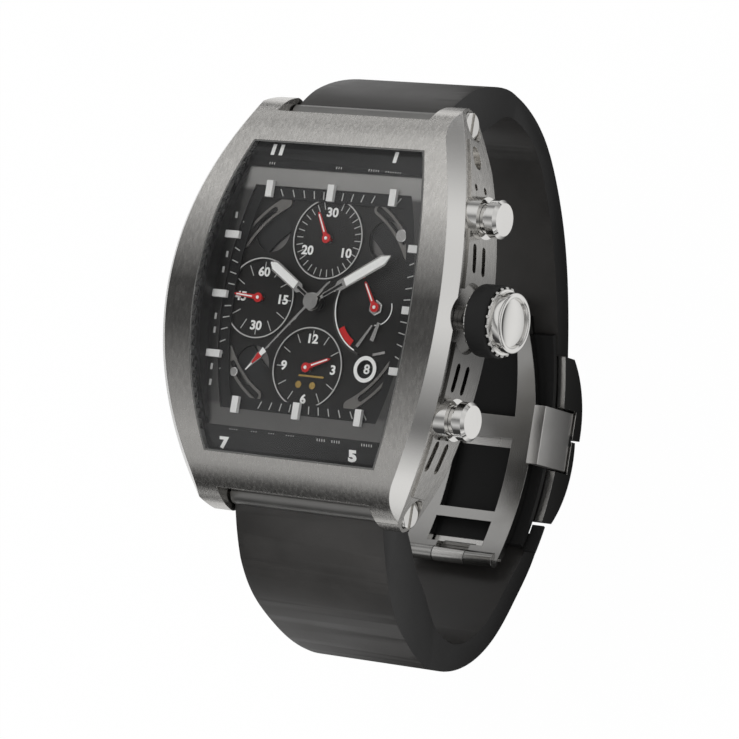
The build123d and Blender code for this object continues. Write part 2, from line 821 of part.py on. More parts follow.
balance_cock = bridge("balance_cock",
                      [(cock_far_edge, balance_top_y), (cock_edge, balance_top_y), (cock_edge, -rim),
                       (cock_far_edge, -rim)],
                      wheel_places[5:])
save(balance_cock.part, "balance_cock")

arbor_floor = bridge_floor + bridge_thickness - jewel_height
with BuildPart() as jewels:
    with BuildSketch(Plane.XY.offset(arbor_floor)):
        with Locations(*wheel_places):
            Circle(jewel_radius)
            Circle(pivot_bore, mode=Mode.SUBTRACT)
    extrude(amount=jewel_height)
save(jewels.part, "jewels")

screw_angles = [12, 70, 100, 150, 195, 262, 305, 345]
with BuildPart() as movement_screws:
    screw_ring_radius = (movement_radius + skirt_inner_radius) / 2 - seat_gap
    with BuildSketch(Plane.XY.offset(bridge_floor)):
        with Locations(*[polar(screw_ring_radius - movement_screw_radius / 2, angle) for angle in screw_angles]):
            Circle(movement_screw_radius)
    extrude(amount=-movement_screw_height)
    with BuildSketch(Plane.XY.offset(rotor_floor)):
        Circle(rotor_screw_radius)
    extrude(amount=-rotor_screw_height)
save(movement_screws.part, "movement_screws")


def toothed_face(plane, centre, radius, teeth):
    """A wheel's outline with straight-sided teeth."""
    root = radius - tooth_depth
    pitch = 360 / teeth
    profile_shares = [(0, root), (0.3, root), (0.42, radius), (0.58, radius), (0.7, root)]
    points = []
    for tooth in range(teeth):
        points += [polar(r, (tooth + share) * pitch, centre) for share, r in profile_shares[1:]]
    with BuildSketch(plane) as face:
        with BuildLine():
            Polyline(*points, close=True)
        make_face()
    return face.sketch


def wheel(centre, radius, level, teeth, spokes):
    """A spoked wheel on its arbor, between the bridge and the main plate."""
    floor = wheel_floor + level * wheel_step
    hole_radius = radius * 0.26
    with BuildPart() as piece:
        extrude(toothed_face(Plane.XY.offset(floor), centre, radius, teeth), amount=wheel_thickness)
        with BuildSketch(Plane.XY.offset(floor)):
            with Locations(centre):
                with PolarLocations(radius * 0.55, spokes):
                    Circle(hole_radius)
        extrude(amount=wheel_thickness, mode=Mode.SUBTRACT)
        with BuildSketch(Plane.XY.offset(arbor_floor)):
            with Locations(centre):
                Circle(arbor_radius)
        extrude(amount=plate_floor + jewel_height - arbor_floor)
    return piece.part


save(wheel((third_x, third_y), third_radius, 1, 48, 5), "third_wheel")
save(wheel((escape_x, escape_y), escape_radius, 0, 15, 4), "escape_wheel")
save(wheel((0, 0), centre_wheel_radius, 2, 60, 5), "centre_wheel")

with BuildPart() as mainspring_barrel:
    barrel_centre = (barrel_x, barrel_y)
    extrude(toothed_face(Plane.XY.offset(wheel_floor), barrel_centre, barrel_radius, 72), amount=wheel_step)
    with BuildSketch(Plane.XY.offset(wheel_floor)):
        with Locations(barrel_centre):
            Circle(barrel_radius - tooth_depth * 2)
    extrude(amount=barrel_height)
    with BuildSketch(Plane.XY.offset(arbor_floor)):
        with Locations(barrel_centre):
            Circle(arbor_radius)
    extrude(amount=plate_floor + jewel_height - arbor_floor)
save(mainspring_barrel.part, "mainspring_barrel")

with BuildPart() as balance_wheel:
    balance_centre = (balance_x, balance_y)
    with BuildSketch(Plane.XY.offset(wheel_floor)):
        with Locations(balance_centre):
            Circle(balance_radius)
            Circle(balance_radius - tooth_depth * 2, mode=Mode.SUBTRACT)
            Rectangle(balance_radius * 2 - tooth_depth * 2, tooth_depth * 2)
            Rectangle(tooth_depth * 2, balance_radius * 2 - tooth_depth * 2)
    extrude(amount=wheel_step)
    with BuildSketch(Plane.XY.offset(arbor_floor)):
        with Locations(balance_centre):
            Circle(arbor_radius)
    extrude(amount=plate_floor + jewel_height - arbor_floor)
save(balance_wheel.part, "balance_wheel")

with BuildPart() as date_disc:
    with BuildSketch(Plane.XY.offset(date_disc_floor)):
        Circle(date_disc_outer)
        Circle(date_disc_inner, mode=Mode.SUBTRACT)
    extrude(amount=date_disc_thickness)
save(date_disc.part, "date_disc")

# Winding rotor: a half disc with a heavy rim
with BuildPart() as rotor:
    with BuildSketch(Plane.XY.offset(rotor_web_floor)):
        Circle(rotor_radius)
        with Locations((0, rotor_radius)):
            Rectangle(rotor_radius * 2, rotor_radius * 2, mode=Mode.SUBTRACT)
        Circle(rotor_hub_radius)
    extrude(amount=rotor_web_height)
    with BuildSketch(Plane.XY.offset(rotor_floor)):
        Circle(rotor_radius)
        Circle(rotor_radius - rotor_rim, mode=Mode.SUBTRACT)
        with Locations((0, rotor_radius)):
            Rectangle(rotor_radius * 2, rotor_radius * 2, mode=Mode.SUBTRACT)
    extrude(amount=rotor_rim_height)
    with BuildSketch(Plane.XY.offset(rotor_floor + running_gap)):
        Circle(rotor_hub_radius)
    extrude(amount=rotor_rim_height)
    with BuildSketch():
        Circle(rotor_bearing_radius + running_gap)
        for angle in (215, 270, 325):
            with Locations(polar(rotor_radius * 0.55, angle)):
                Circle(rotor_hub_radius * 0.72)
    extrude(amount=overrun, mode=Mode.SUBTRACT)
save(rotor.part, "rotor")


def leaf_points(length, width, angle, shares, centre=(0, 0)):
    """A hand's outline, from shares of its length and width, turned to its angle."""
    ahead = radians(angle)
    points = []
    for along, across in shares:
        x = along * length
        y = across * width / 2
        points.append((centre[0] + x * cos(ahead) - y * sin(ahead), centre[1] + x * sin(ahead) + y * cos(ahead)))
    return points


def mirrored(half_shares):
    """Both edges of a hand from one edge."""
    return half_shares + [(along, -across) for along, across in reversed(half_shares)]


sword_shares = mirrored([(0, 0.35), (0.3, 0.4), (0.34, 0.9), (0.9, 1), (1, 0.08)])
needle_shares = mirrored([(0, 0.9), (0.72, 0.5), (0.76, 2.4), (0.8, 2.4), (1, 0.2)])
dart_shares = mirrored([(0, 1), (0.9, 0.6), (1, 0.15)])


def hand(length, width, angle, shares, z, hub, pipe_radius, bore, pipe_floor, centre=(0, 0), tail=0.0):
    """A hand with its hub and the pipe or arbor that carries it."""
    with BuildPart() as piece:
        with BuildSketch(Plane.XY.offset(z)):
            with BuildLine():
                Polyline(*leaf_points(length, width, angle, shares, centre), close=True)
            make_face()
            if tail:
                with BuildLine():
                    Polyline(*leaf_points(tail, width, angle + 180, dart_shares, centre), close=True)
                make_face()
            with Locations(centre):
                Circle(hub)
        extrude(amount=hand_thickness)
        with BuildSketch(Plane.XY.offset(pipe_floor)):
            with Locations(centre):
                Circle(pipe_radius)
        extrude(amount=z - pipe_floor)
        if bore:
            with BuildSketch(Plane.XY.offset(pipe_floor)):
                with Locations(centre):
                    Circle(bore)
            extrude(amount=overrun, mode=Mode.SUBTRACT)
    return piece.part


save(hand(hour_hand_length, hand_width, hour_hand_angle, sword_shares, hour_hand_z, hub_radius,
          hour_pipe_radius, minute_pipe_radius + running_gap, plate_top + running_gap), "hour_hand")
save(hand(minute_hand_length, hand_width, minute_hand_angle, sword_shares, minute_hand_z, hub_radius,
          minute_pipe_radius, arbor_radius + running_gap, plate_floor + wheel_step), "minute_hand")
save(hand(chrono_hand_length, hand_width / 4, chrono_hand_angle, needle_shares, chrono_hand_z, hub_radius * 0.8,
          arbor_radius, 0, plate_floor + wheel_step * 2, tail=chrono_tail_length), "chrono_seconds_hand")
counter_hands = [("minute_counter_hand", (0, counter_y), minute_counter_angle, plate_floor + wheel_step),
                 ("hour_counter_hand", (0, -counter_y), hour_counter_angle, plate_floor + wheel_step),
                 ("reserve_hand", (reserve_x, reserve_y), reserve_hand_angle, dial_floor)]
for name, place, angle, foot in counter_hands:
    save(hand(counter_hand_length, hand_width / 2.4, angle, dart_shares, counter_hand_z, small_hub_radius,
              arbor_radius, 0, foot, place), name)
save(hand(counter_hand_length, hand_width / 2.4, small_seconds_angle, dart_shares, counter_hand_z,
          small_hub_radius, arbor_radius, 0, plate_floor + jewel_height, (seconds_x, 0)), "small_seconds_hand")
save(wheel((seconds_x, 0), fourth_radius, 0, 40, 4), "fourth_wheel")

# Crown, its rubber grip, the stem, the sliding clutch wheel and the tube in the case
core_end_x = crown_outer_x - crown_disc_width
with BuildPart() as crown:
    with BuildSketch(side_plane(crown_inner_x, 0, crown_z)):
        Circle(crown_inner_radius)
    extrude(amount=crown_inner_width)
    with BuildSketch(side_plane(crown_inner_x, 0, crown_z)):
        Circle(crown_core_radius)
    extrude(amount=crown_outer_x - crown_inner_x)
    with BuildSketch(side_plane(core_end_x, 0, crown_z)):
        Circle(crown_radius)
        with PolarLocations(crown_radius, grip_notches):
            Circle(crown_stud_radius, mode=Mode.SUBTRACT)
    extrude(amount=crown_disc_width)
    with BuildSketch(side_plane(crown_outer_x, 0, crown_z)):
        Circle(crown_core_radius)
    extrude(amount=crown_dome, taper=30)
    with BuildSketch(side_plane(crown_inner_x, 0, crown_z)):
        Circle(crown_tube_radius + running_gap)
    extrude(amount=crown_bore_depth, mode=Mode.SUBTRACT)
save(crown.part, "crown")

with BuildPart() as crown_grip:
    grip_length = core_end_x - crown_inner_x - crown_inner_width
    with BuildSketch(side_plane(crown_inner_x + crown_inner_width, 0, crown_z)):
        Circle(grip_radius)
        Circle(crown_core_radius, mode=Mode.SUBTRACT)
        with PolarLocations(grip_radius, grip_notches):
            Circle(grip_notch_radius, mode=Mode.SUBTRACT)
    extrude(amount=grip_length)
save(crown_grip.part, "crown_grip")

with BuildPart() as stem:
    with BuildSketch(side_plane(stem_inner_x, 0, crown_z)):
        Rectangle(stem_square, stem_square)
    extrude(amount=stem_round_x - stem_inner_x)
    with BuildSketch(side_plane(stem_round_x, 0, crown_z)):
        Circle(stem_radius)
    extrude(amount=crown_inner_x + crown_bore_depth - stem_round_x)
save(stem.part, "stem")

with BuildPart() as clutch_wheel:
    with BuildSketch(side_plane(clutch_start_x, 0, crown_z)):
        Circle(clutch_radius)
        Rectangle(stem_square + running_gap, stem_square + running_gap, mode=Mode.SUBTRACT)
    extrude(amount=clutch_length)
save(clutch_wheel.part, "clutch_wheel")

with BuildPart() as crown_tube:
    with BuildSketch(side_plane(cavity_half_width, 0, crown_z)):
        Circle(crown_tube_radius)
        Circle(crown_tube_bore, mode=Mode.SUBTRACT)
    extrude(amount=crown_inner_x + crown_bore_depth / 2 - cavity_half_width)
save(crown_tube.part, "crown_tube")

# Chronograph pushers with their drums, tubes and return springs
pusher_sides = (1, -1)
with BuildPart() as pusher_tubes:
    for side in pusher_sides:
        with BuildSketch(side_plane(pusher_tube_inner_x, side * pusher_y, crown_z)):
            Circle(pusher_tube_radius)
        extrude(amount=drum_floor_x - pusher_tube_inner_x)
        with BuildSketch(side_plane(drum_inner_x, side * pusher_y, crown_z)):
            Circle(drum_radius)
        extrude(amount=drum_outer_x - drum_inner_x)
        with BuildSketch(side_plane(drum_floor_x, side * pusher_y, crown_z)):
            Circle(drum_bore_radius)
        extrude(amount=overrun, mode=Mode.SUBTRACT)
        with BuildSketch(side_plane(0, side * pusher_y, crown_z)):
            Circle(pusher_tube_bore)
        extrude(amount=overrun, mode=Mode.SUBTRACT)
save(pusher_tubes.part, "pusher_tubes")

with BuildPart() as pusher_springs:
    for side in pusher_sides:
        with BuildSketch(side_plane(drum_floor_x + seat_gap, side * pusher_y, crown_z)):
            Circle(drum_bore_radius - seat_gap)
            Circle(drum_bore_radius - seat_gap - spring_wire, mode=Mode.SUBTRACT)
        extrude(amount=pusher_neck_x - pusher_travel - drum_floor_x - seat_gap * 2)
save(pusher_springs.part, "pusher_springs")


def pusher(side):
    cap_start_x = drum_outer_x + pusher_travel + seat_gap * 2
    with BuildPart() as piece:
        with BuildSketch(side_plane(cap_start_x, side * pusher_y, crown_z)):
            Circle(pusher_cap_radius)
        extrude(amount=pusher_cap_length)
        chamfer(piece.faces().sort_by(Axis.X)[-1].edges(), pusher_crown_bevel)
        with BuildSketch(side_plane(pusher_neck_x, side * pusher_y, crown_z)):
            Circle(drum_bore_radius - running_gap)
        extrude(amount=cap_start_x - pusher_neck_x)
        with BuildSketch(side_plane(pusher_stem_end_x, side * pusher_y, crown_z)):
            Circle(pusher_stem_radius)
        extrude(amount=cap_start_x - pusher_stem_end_x)
    return piece.part


save(pusher(1), "pusher_2")
save(pusher(-1), "pusher_4")

# Strap halves: outer line as shares of the loop's reach and depth, with the thickness as a share of the
# way from the root's thickness to the thickness of the rest
front_strap_shares = [(0.899, -0.019, 0.5), (0.957, 0.093, 0.6), (0.987, 0.2, 0.4), (0.999, 0.321, 0.08),
                      (0.964, 0.461, -0.08), (0.876, 0.599, -0.1), (0.724, 0.725, -0.05), (0.497, 0.85, 0.0),
                      (0.27, 0.933, -0.03), (0.03, 0.995, -0.12)]
rear_strap_shares = [(0.742, -0.056, 0.85), (0.851, 0.038, 1.0), (0.926, 0.161, 0.95), (0.976, 0.283, 0.7),
                     (1.0, 0.415, 0.35), (0.99, 0.554, 0.08), (0.937, 0.693, 0.0), (0.852, 0.8, 0.0),
                     (0.737, 0.887, 0.0), (0.61, 0.964, -0.12), (rear_end_share, 0.986, -0.18)]


def strap_lines(shares, reach, end):
    """Outer points and, one thickness inside them, inner points of a strap half."""
    outer = [(end * y * reach, -z * loop_depth) for y, z, root in shares]
    inner = []
    for index, (y, z, root) in enumerate(shares):
        before = outer[max(index - 1, 0)]
        after = outer[min(index + 1, len(outer) - 1)]
        run = hypot(after[0] - before[0], after[1] - before[1])
        normal = (end * (after[1] - before[1]) / run, -end * (after[0] - before[0]) / run)
        thickness = strap_mid_thickness + root * (strap_root_thickness - strap_mid_thickness)
        inner.append((outer[index][0] + normal[0] * thickness, outer[index][1] + normal[1] * thickness))
    return outer, inner


def strap_half(shares, reach, end):
    """A strap half: its side view extruded, squared at the front cover, narrowed, hollowed for its tube."""
    outer, inner = strap_lines(shares, reach, end)
    root_y = end * lug_pin_y
    tangent = strap_tube_radius * 0.94
    outer_root = (root_y + end * tangent, lug_pin_z)
    inner_root = (root_y - end * tangent, lug_pin_z - strap_tube_radius / 3)
    with BuildPart() as half:
        with BuildSketch(Plane.YZ):
            with BuildLine():
                outer_line = Spline(outer_root, *outer)
                inner_line = Spline(inner_root, *inner)
                Line(outer_line @ 0, inner_line @ 0)
                Line(outer_line @ 1, inner_line @ 1)
            make_face()
            if end > 0:
                with Locations((cover_front_y + seat_gap - overrun / 2, -loop_depth)):
                    Rectangle(overrun, loop_depth, mode=Mode.SUBTRACT)
        extrude(amount=strap_root_half_width, both=True)
        with BuildSketch(Plane.XZ):
            with BuildLine():
                Polyline((strap_root_half_width, overrun), (strap_root_half_width, strap_taper_top_z),
                         (strap_half_width, strap_taper_end_z), (strap_half_width, -overrun),
                         (-strap_half_width, -overrun), (-strap_half_width, strap_taper_end_z),
                         (-strap_root_half_width, strap_taper_top_z), (-strap_root_half_width, overrun),
                         close=True)
            make_face()
        extrude(amount=overrun, both=True, mode=Mode.INTERSECT)
        add(side_rod(-overrun, overrun, root_y, lug_pin_z, strap_tube_radius), mode=Mode.SUBTRACT)
        pin = strap_pin_place(shares, reach, end)
        add(side_rod(-strap_pin_half_length, strap_pin_half_length, pin[0], pin[1], strap_pin_radius),
            mode=Mode.SUBTRACT)
    return half.part


def strap_pin_place(shares, reach, end):
    """Middle of the strap's thickness, close to its clasp end."""
    outer, inner = strap_lines(shares, reach, end)
    y = (outer[-1][0] + outer[-2][0] + inner[-1][0] + inner[-2][0]) / 4
    z = (outer[-1][1] + outer[-2][1] + inner[-1][1] + inner[-2][1]) / 4
    return (y, z)


def strap_tube(end):
    with BuildPart() as tube:
        with BuildSketch(side_plane(-strap_root_half_width, end * lug_pin_y, lug_pin_z)):
            Circle(strap_tube_radius)
            Circle(strap_tube_bore, mode=Mode.SUBTRACT)
        extrude(amount=strap_root_half_width * 2)
    return tube.part


save(strap_half(front_strap_shares, front_reach, 1), "strap_12")
save(strap_half(rear_strap_shares, rear_reach, -1), "strap_6")
for end, shares, reach, name in ((1, front_strap_shares, front_reach, "strap_tubes_12"),
                                 (-1, rear_strap_shares, rear_reach, "strap_tubes_6")):
    pin_y, pin_z = strap_pin_place(shares, reach, end)
    with BuildPart() as strap_tubes:
        add(strap_tube(end))
        add(side_rod(-strap_pin_half_length, strap_pin_half_length, pin_y, pin_z, strap_pin_radius))
    save(strap_tubes.part, name)

# Clasp: every leaf follows one arc in the side view
arc_centre_z = clasp_mid_z + clasp_arc_radius
bow_inner = clasp_arc_radius - bow_thickness / 2
bow_outer = clasp_arc_radius + bow_thickness / 2
blade_inner = bow_outer + blade_gap
blade_outer = blade_inner + blade_thickness
hinge_z = arc_centre_z - sqrt(clasp_arc_radius**2 - hinge_reach**2)
front_hinge_y = clasp_y + hinge_reach
rear_hinge_y = clasp_y - hinge_reach


def arc_point(radius, y):
    """The point of a clasp arc at a place along Y."""
    return (y, arc_centre_z - sqrt(radius**2 - (y - clasp_y) ** 2))


def curved_leaf(inner, outer, y_start, y_end):
    """Side view of a leaf between two clasp arcs."""
    y_middle = (y_start + y_end) / 2
    with BuildSketch(Plane.YZ) as face:
        with BuildLine():
            top = ThreePointArc(arc_point(inner, y_start), arc_point(inner, y_middle), arc_point(inner, y_end))
            low = ThreePointArc(arc_point(outer, y_start), arc_point(outer, y_middle), arc_point(outer, y_end))
            Line(top @ 0, low @ 0)
            Line(top @ 1, low @ 1)
        make_face()
    return face.sketch


def knuckle_tool(y, half_width, radius):
    return side_rod(-half_width, half_width, y, hinge_z, radius)


bow_windows = [(front_hinge_y - knuckle_radius * 2 - bow_window_gap, bow_bar_front_y),
               (bow_bar_rear_y, thin_bar_front_y), (thin_bar_rear_y, rear_hinge_y + bow_window_gap)]
with BuildPart() as clasp_bow:
    extrude(curved_leaf(bow_inner, bow_outer, front_hinge_y, rear_hinge_y), amount=bow_half_width, both=True)
    with BuildSketch():
        with BuildLine():
            belly_y = clasp_y + bow_rail
            right = ThreePointArc((bow_end_half_width, front_hinge_y + bow_rail), (bow_half_width, belly_y),
                                  (bow_half_width - seat_gap * 2, rear_hinge_y - bow_rail))
            left = ThreePointArc((-bow_end_half_width, front_hinge_y + bow_rail), (-bow_half_width, belly_y),
                                 (-(bow_half_width - seat_gap * 2), rear_hinge_y - bow_rail))
            Line(right @ 0, left @ 0)
            Line(right @ 1, left @ 1)
        make_face()
        for near_y, far_y in bow_windows:
            with Locations((0, (near_y + far_y) / 2)):
                Rectangle((bow_end_half_width - bow_rail) * 2, near_y - far_y, mode=Mode.SUBTRACT)
    extrude(amount=-overrun, mode=Mode.INTERSECT)
    add(side_rod(-bow_end_half_width, bow_end_half_width, front_hinge_y, hinge_z, knuckle_radius))
    add(side_rod(-bow_half_width + bow_rail / 2, bow_half_width - bow_rail / 2, rear_hinge_y, hinge_z,
                 knuckle_radius))
    hinge_room = knuckle_radius * 2
    for hinge_y in (front_hinge_y, rear_hinge_y):
        add(knuckle_tool(hinge_y, knuckle_half_width + seat_gap * 2, hinge_room), mode=Mode.SUBTRACT)
        add(knuckle_tool(hinge_y, overrun, hinge_pin_radius), mode=Mode.SUBTRACT)
save(clasp_bow.part, "clasp_bow")

with BuildPart() as clasp_hinge_pins:
    add(side_rod(-bow_end_half_width, bow_end_half_width, front_hinge_y, hinge_z, hinge_pin_radius))
    add(side_rod(-bow_half_width + bow_rail / 2, bow_half_width - bow_rail / 2, rear_hinge_y, hinge_z,
                 hinge_pin_radius))
save(clasp_hinge_pins.part, "clasp_hinge_pins")


def cover_side(inner_start_y, inner_end_y, outer_start, outer_end):
    """Side view of a cover: a clasp arc inside, a bowed crown outside."""
    inner_middle_y = (inner_start_y + inner_end_y) / 2
    outer_middle = ((outer_start[0] + outer_end[0]) / 2, (outer_start[1] + outer_end[1]) / 2 - cover_bulge)
    with BuildSketch(Plane.YZ) as face:
        with BuildLine():
            top = ThreePointArc(arc_point(blade_outer, inner_start_y), arc_point(blade_outer, inner_middle_y),
                                arc_point(blade_outer, inner_end_y))
            crown_line = ThreePointArc(outer_start, outer_middle, outer_end)
            Line(top @ 0, crown_line @ 0)
            Line(top @ 1, crown_line @ 1)
        make_face()
    return face.sketch


front_split_y = cover_split_y + cover_split_gap / 2
rear_split_y = cover_split_y - cover_split_gap / 2
with BuildPart() as button_seats:
    seat_inner_x = button_inner_x - button_travel - seat_gap * 2
    for side in (1, -1):
        with BuildSketch(Plane.YZ.offset(side * seat_inner_x)):
            with BuildLine():
                Polyline((button_front_y + air_gap, button_low_z - air_gap),
                         (button_rear_y - air_gap, button_low_z - air_gap),
                         (button_rear_y - air_gap, button_top_z), (button_front_y + air_gap, button_top_z),
                         close=True)
            make_face()
        extrude(amount=side * overrun)

with BuildPart() as clasp_cover_12:
    cover_front_z = arc_point(blade_outer, cover_front_y)[1] - cover_end_thickness
    extrude(cover_side(cover_front_y, front_split_y, (cover_front_y, cover_front_z),
                       (front_split_y, cover_crest_z)), amount=cover_half_width, both=True)
    extrude(curved_leaf(blade_inner, blade_outer, front_hinge_y, front_split_y),
            amount=bow_end_half_width, both=True)
    hinge_cut = side_rod(-overrun, overrun, front_hinge_y, hinge_z, knuckle_radius + air_gap)
    add(hinge_cut, mode=Mode.SUBTRACT)
    add(knuckle_tool(front_hinge_y, knuckle_half_width, knuckle_radius))
    with BuildSketch(side_plane(-knuckle_half_width, 0, 0)):
        with BuildLine():
            Polyline((front_hinge_y, hinge_z), (front_hinge_y, hinge_z - knuckle_radius),
                     arc_point(blade_outer, front_hinge_y - knuckle_radius * 2),
                     arc_point(blade_inner, front_hinge_y - knuckle_radius * 2), close=True)
        make_face()
    extrude(amount=knuckle_half_width * 2)
    add(knuckle_tool(front_hinge_y, overrun, hinge_pin_radius + running_gap), mode=Mode.SUBTRACT)
    add(side_rod(-seat_inner_x, seat_inner_x, button_pin_y, button_pin_z, button_bore), mode=Mode.SUBTRACT)
    add(button_seats.part, mode=Mode.SUBTRACT)
save(clasp_cover_12.part, "clasp_cover_12")

with BuildPart() as clasp_cover_6:
    cover_rear_z = arc_point(blade_outer, cover_rear_y)[1] - cover_end_thickness
    extrude(cover_side(rear_split_y, cover_rear_y, (rear_split_y, cover_crest_z + cover_step),
                       (cover_rear_y, cover_rear_z)), amount=cover_half_width, both=True)
    extrude(curved_leaf(blade_inner, blade_outer, rear_split_y, rear_hinge_y),
            amount=bow_end_half_width, both=True)
    add(side_rod(-overrun, overrun, rear_hinge_y, hinge_z, knuckle_radius + air_gap), mode=Mode.SUBTRACT)
    add(knuckle_tool(rear_hinge_y, knuckle_half_width, knuckle_radius))
    with BuildSketch(side_plane(-knuckle_half_width, 0, 0)):
        with BuildLine():
            Polyline((rear_hinge_y, hinge_z), (rear_hinge_y, hinge_z - knuckle_radius),
                     arc_point(blade_outer, rear_hinge_y + knuckle_radius * 2),
                     arc_point(blade_inner, rear_hinge_y + knuckle_radius * 2), close=True)
        make_face()
    extrude(amount=knuckle_half_width * 2)
    add(knuckle_tool(rear_hinge_y, overrun, hinge_pin_radius + running_gap), mode=Mode.SUBTRACT)
    add(button_seats.part, mode=Mode.SUBTRACT)
save(clasp_cover_6.part, "clasp_cover_6")


def button(side):
    """A release button: a tall side plate and its guide pin in the front cover."""
    with BuildPart() as piece:
        with BuildSketch(Plane.YZ.offset(side * button_inner_x)):
            with BuildLine():
                Polyline((button_front_y, button_top_z), (button_front_y, button_low_z),
                         (button_rear_y, button_low_z), (button_rear_y, button_top_z), close=True)
            make_face()
        extrude(amount=side * (button_outer_x - button_inner_x))
        with BuildSketch(Plane(origin=(side * button_inner_x, button_pin_y, button_pin_z), x_dir=(0, 1, 0),
                               z_dir=(side, 0, 0))):
            Circle(button_pin_radius)
        extrude(amount=-(button_inner_x - button_pin_end_x))
    return piece.part


save(button(1), "button_right")
save(button(-1), "button_left")

with BuildPart() as button_springs:
    for side in (1, -1):
        with BuildSketch(Plane(origin=(side * button_spring_start_x, button_pin_y, button_pin_z), x_dir=(0, 1, 0),
                               z_dir=(side, 0, 0))):
            Circle(button_bore - seat_gap)
            Circle(button_bore - seat_gap - spring_wire, mode=Mode.SUBTRACT)
        extrude(amount=button_spring_end_x - button_spring_start_x)
save(button_springs.part, "button_springs")
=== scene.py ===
"""Looks of a tonneau chronograph wristwatch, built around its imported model.

Lengths are written in millimetres and turned into metres by MM. The frame is the watch's own:
+X towards the crown, +Y towards 12 o'clock and +Z out of the dial.
"""

import json
from math import atan2, cos, degrees, pi, radians, sin, sqrt, tau

import bmesh
import bpy
from bpy.props import FloatProperty, FloatVectorProperty, IntProperty, PointerProperty
from bpy.types import Operator, Panel, PropertyGroup
from mathutils import Matrix, Vector

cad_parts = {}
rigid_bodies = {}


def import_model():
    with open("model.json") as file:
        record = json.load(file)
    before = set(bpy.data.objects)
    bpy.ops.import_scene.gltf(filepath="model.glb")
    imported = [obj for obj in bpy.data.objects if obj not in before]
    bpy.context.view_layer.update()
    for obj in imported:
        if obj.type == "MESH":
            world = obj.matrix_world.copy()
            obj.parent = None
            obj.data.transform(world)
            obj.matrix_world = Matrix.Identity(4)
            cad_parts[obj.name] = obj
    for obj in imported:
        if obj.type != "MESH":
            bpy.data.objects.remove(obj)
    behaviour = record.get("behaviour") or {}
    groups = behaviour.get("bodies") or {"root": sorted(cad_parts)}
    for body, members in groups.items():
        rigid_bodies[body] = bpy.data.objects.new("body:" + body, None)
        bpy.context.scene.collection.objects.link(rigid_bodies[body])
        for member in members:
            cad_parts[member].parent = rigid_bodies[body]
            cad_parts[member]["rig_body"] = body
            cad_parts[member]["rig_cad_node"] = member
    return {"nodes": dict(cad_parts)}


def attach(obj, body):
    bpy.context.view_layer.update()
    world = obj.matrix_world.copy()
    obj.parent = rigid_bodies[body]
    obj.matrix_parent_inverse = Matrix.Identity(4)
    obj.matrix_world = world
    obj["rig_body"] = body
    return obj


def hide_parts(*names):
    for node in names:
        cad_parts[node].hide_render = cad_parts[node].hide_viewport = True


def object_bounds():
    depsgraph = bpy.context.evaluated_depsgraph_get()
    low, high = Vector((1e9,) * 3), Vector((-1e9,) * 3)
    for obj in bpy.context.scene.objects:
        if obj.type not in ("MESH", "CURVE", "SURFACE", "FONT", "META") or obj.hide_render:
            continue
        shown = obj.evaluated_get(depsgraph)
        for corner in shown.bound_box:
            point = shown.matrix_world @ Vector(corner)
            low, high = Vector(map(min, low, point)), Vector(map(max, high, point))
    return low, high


bl_info = {
    "name": "Tonneau Chronograph Looks",
    "version": (1, 0, 0),
    "blender": (4, 5, 0),
    "location": "3D View > Sidebar > Watch",
    "description": "Dresses the packed tonneau chronograph with its finishes and fine pieces",
    "category": "Object",
}

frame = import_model()
CAD_LOW, CAD_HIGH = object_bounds()
NODES = frame["nodes"]
MM = 0.001
MICRON = 1e-6


def size_property(name, text, default, low=0.0, high=100.0):
    """A size in millimetres that a user can change."""
    text += ", in millimetres"
    return FloatProperty(name=name, description=text, default=default, min=low, max=high)


def share_property(name, text, default):
    """A share from none to all that a user can change."""
    return FloatProperty(name=name, description=text, default=default, subtype="FACTOR", min=0, max=1)


def power_property(name, text, default):
    return FloatProperty(name=name, description=text, default=default, unit="POWER")


def color_property(name, text, default):
    return FloatVectorProperty(name=name, description=text, default=default, subtype="COLOR", size=3,
                               min=0, max=1)


class WatchStageSettings(PropertyGroup):
    """Camera, light and floor."""

    lens: FloatProperty(name="Lens", description="Camera's focal length, in millimetres", default=196.396)
    camera_tilt: FloatVectorProperty(
        name="Camera turn", description="The camera's turn about the watch's x, y and z axes",
        subtype="EULER", unit="ROTATION", default=(radians(4.84552), radians(32.96089), radians(9.04965)))
    camera_place: FloatVectorProperty(
        name="Camera place", description="The camera's place", subtype="XYZ", unit="LENGTH",
        default=(0.25328, -0.04507, 0.38693))
    key_power: power_property("Key light", "Power of the large overhead softbox", 1.6)
    side_power: power_property("Side light", "Power of each side softbox", 0.9)
    ambient: share_property("Ambient", "Strength of the room light on the watch", 0.42)
    band_direction: FloatVectorProperty(
        name="Light bands", description="Direction across the light bands that metal mirrors",
        subtype="XYZ", default=(0.75, 0.35, 0.55))
    floor_mirror: share_property("Floor in metal", "Brightness of the floor in mirrors", 0.95)
    floor_band: FloatProperty(name="Floor band", description="Width of one light band of the mirrored floor",
                              default=0.11, subtype="DISTANCE", min=0.005, max=1)
    floor_glow: share_property("Floor glow", "Share of even white in the floor that the eye sees", 0.985)
    floor_color: color_property("Floor", "Colour of the floor", (0.93, 0.93, 0.93))


class WatchMetalSettings(PropertyGroup):
    """Colours and grain of the metal pieces."""

    satin_light: color_property("Satin light", "Lighter tone of the satin steel", (0.66, 0.645, 0.62))
    satin_dark: color_property("Satin dark", "Darker tone of the satin steel", (0.33, 0.322, 0.308))
    polished: color_property("Polished", "Colour of the polished steel", (0.74, 0.73, 0.71))
    movement: color_property("Movement", "Colour of the movement's plates", (0.16, 0.155, 0.15))
    gold: color_property("Gilt", "Colour of the gilt wheels and settings", (0.62, 0.42, 0.13))
    grain: size_property("Grain", "Width of one line of the satin grain", 0.09, 0.01, 1.0)
    edge_radius: size_property("Edge", "Radius of the softened edges", 0.09, 0.0, 0.5)


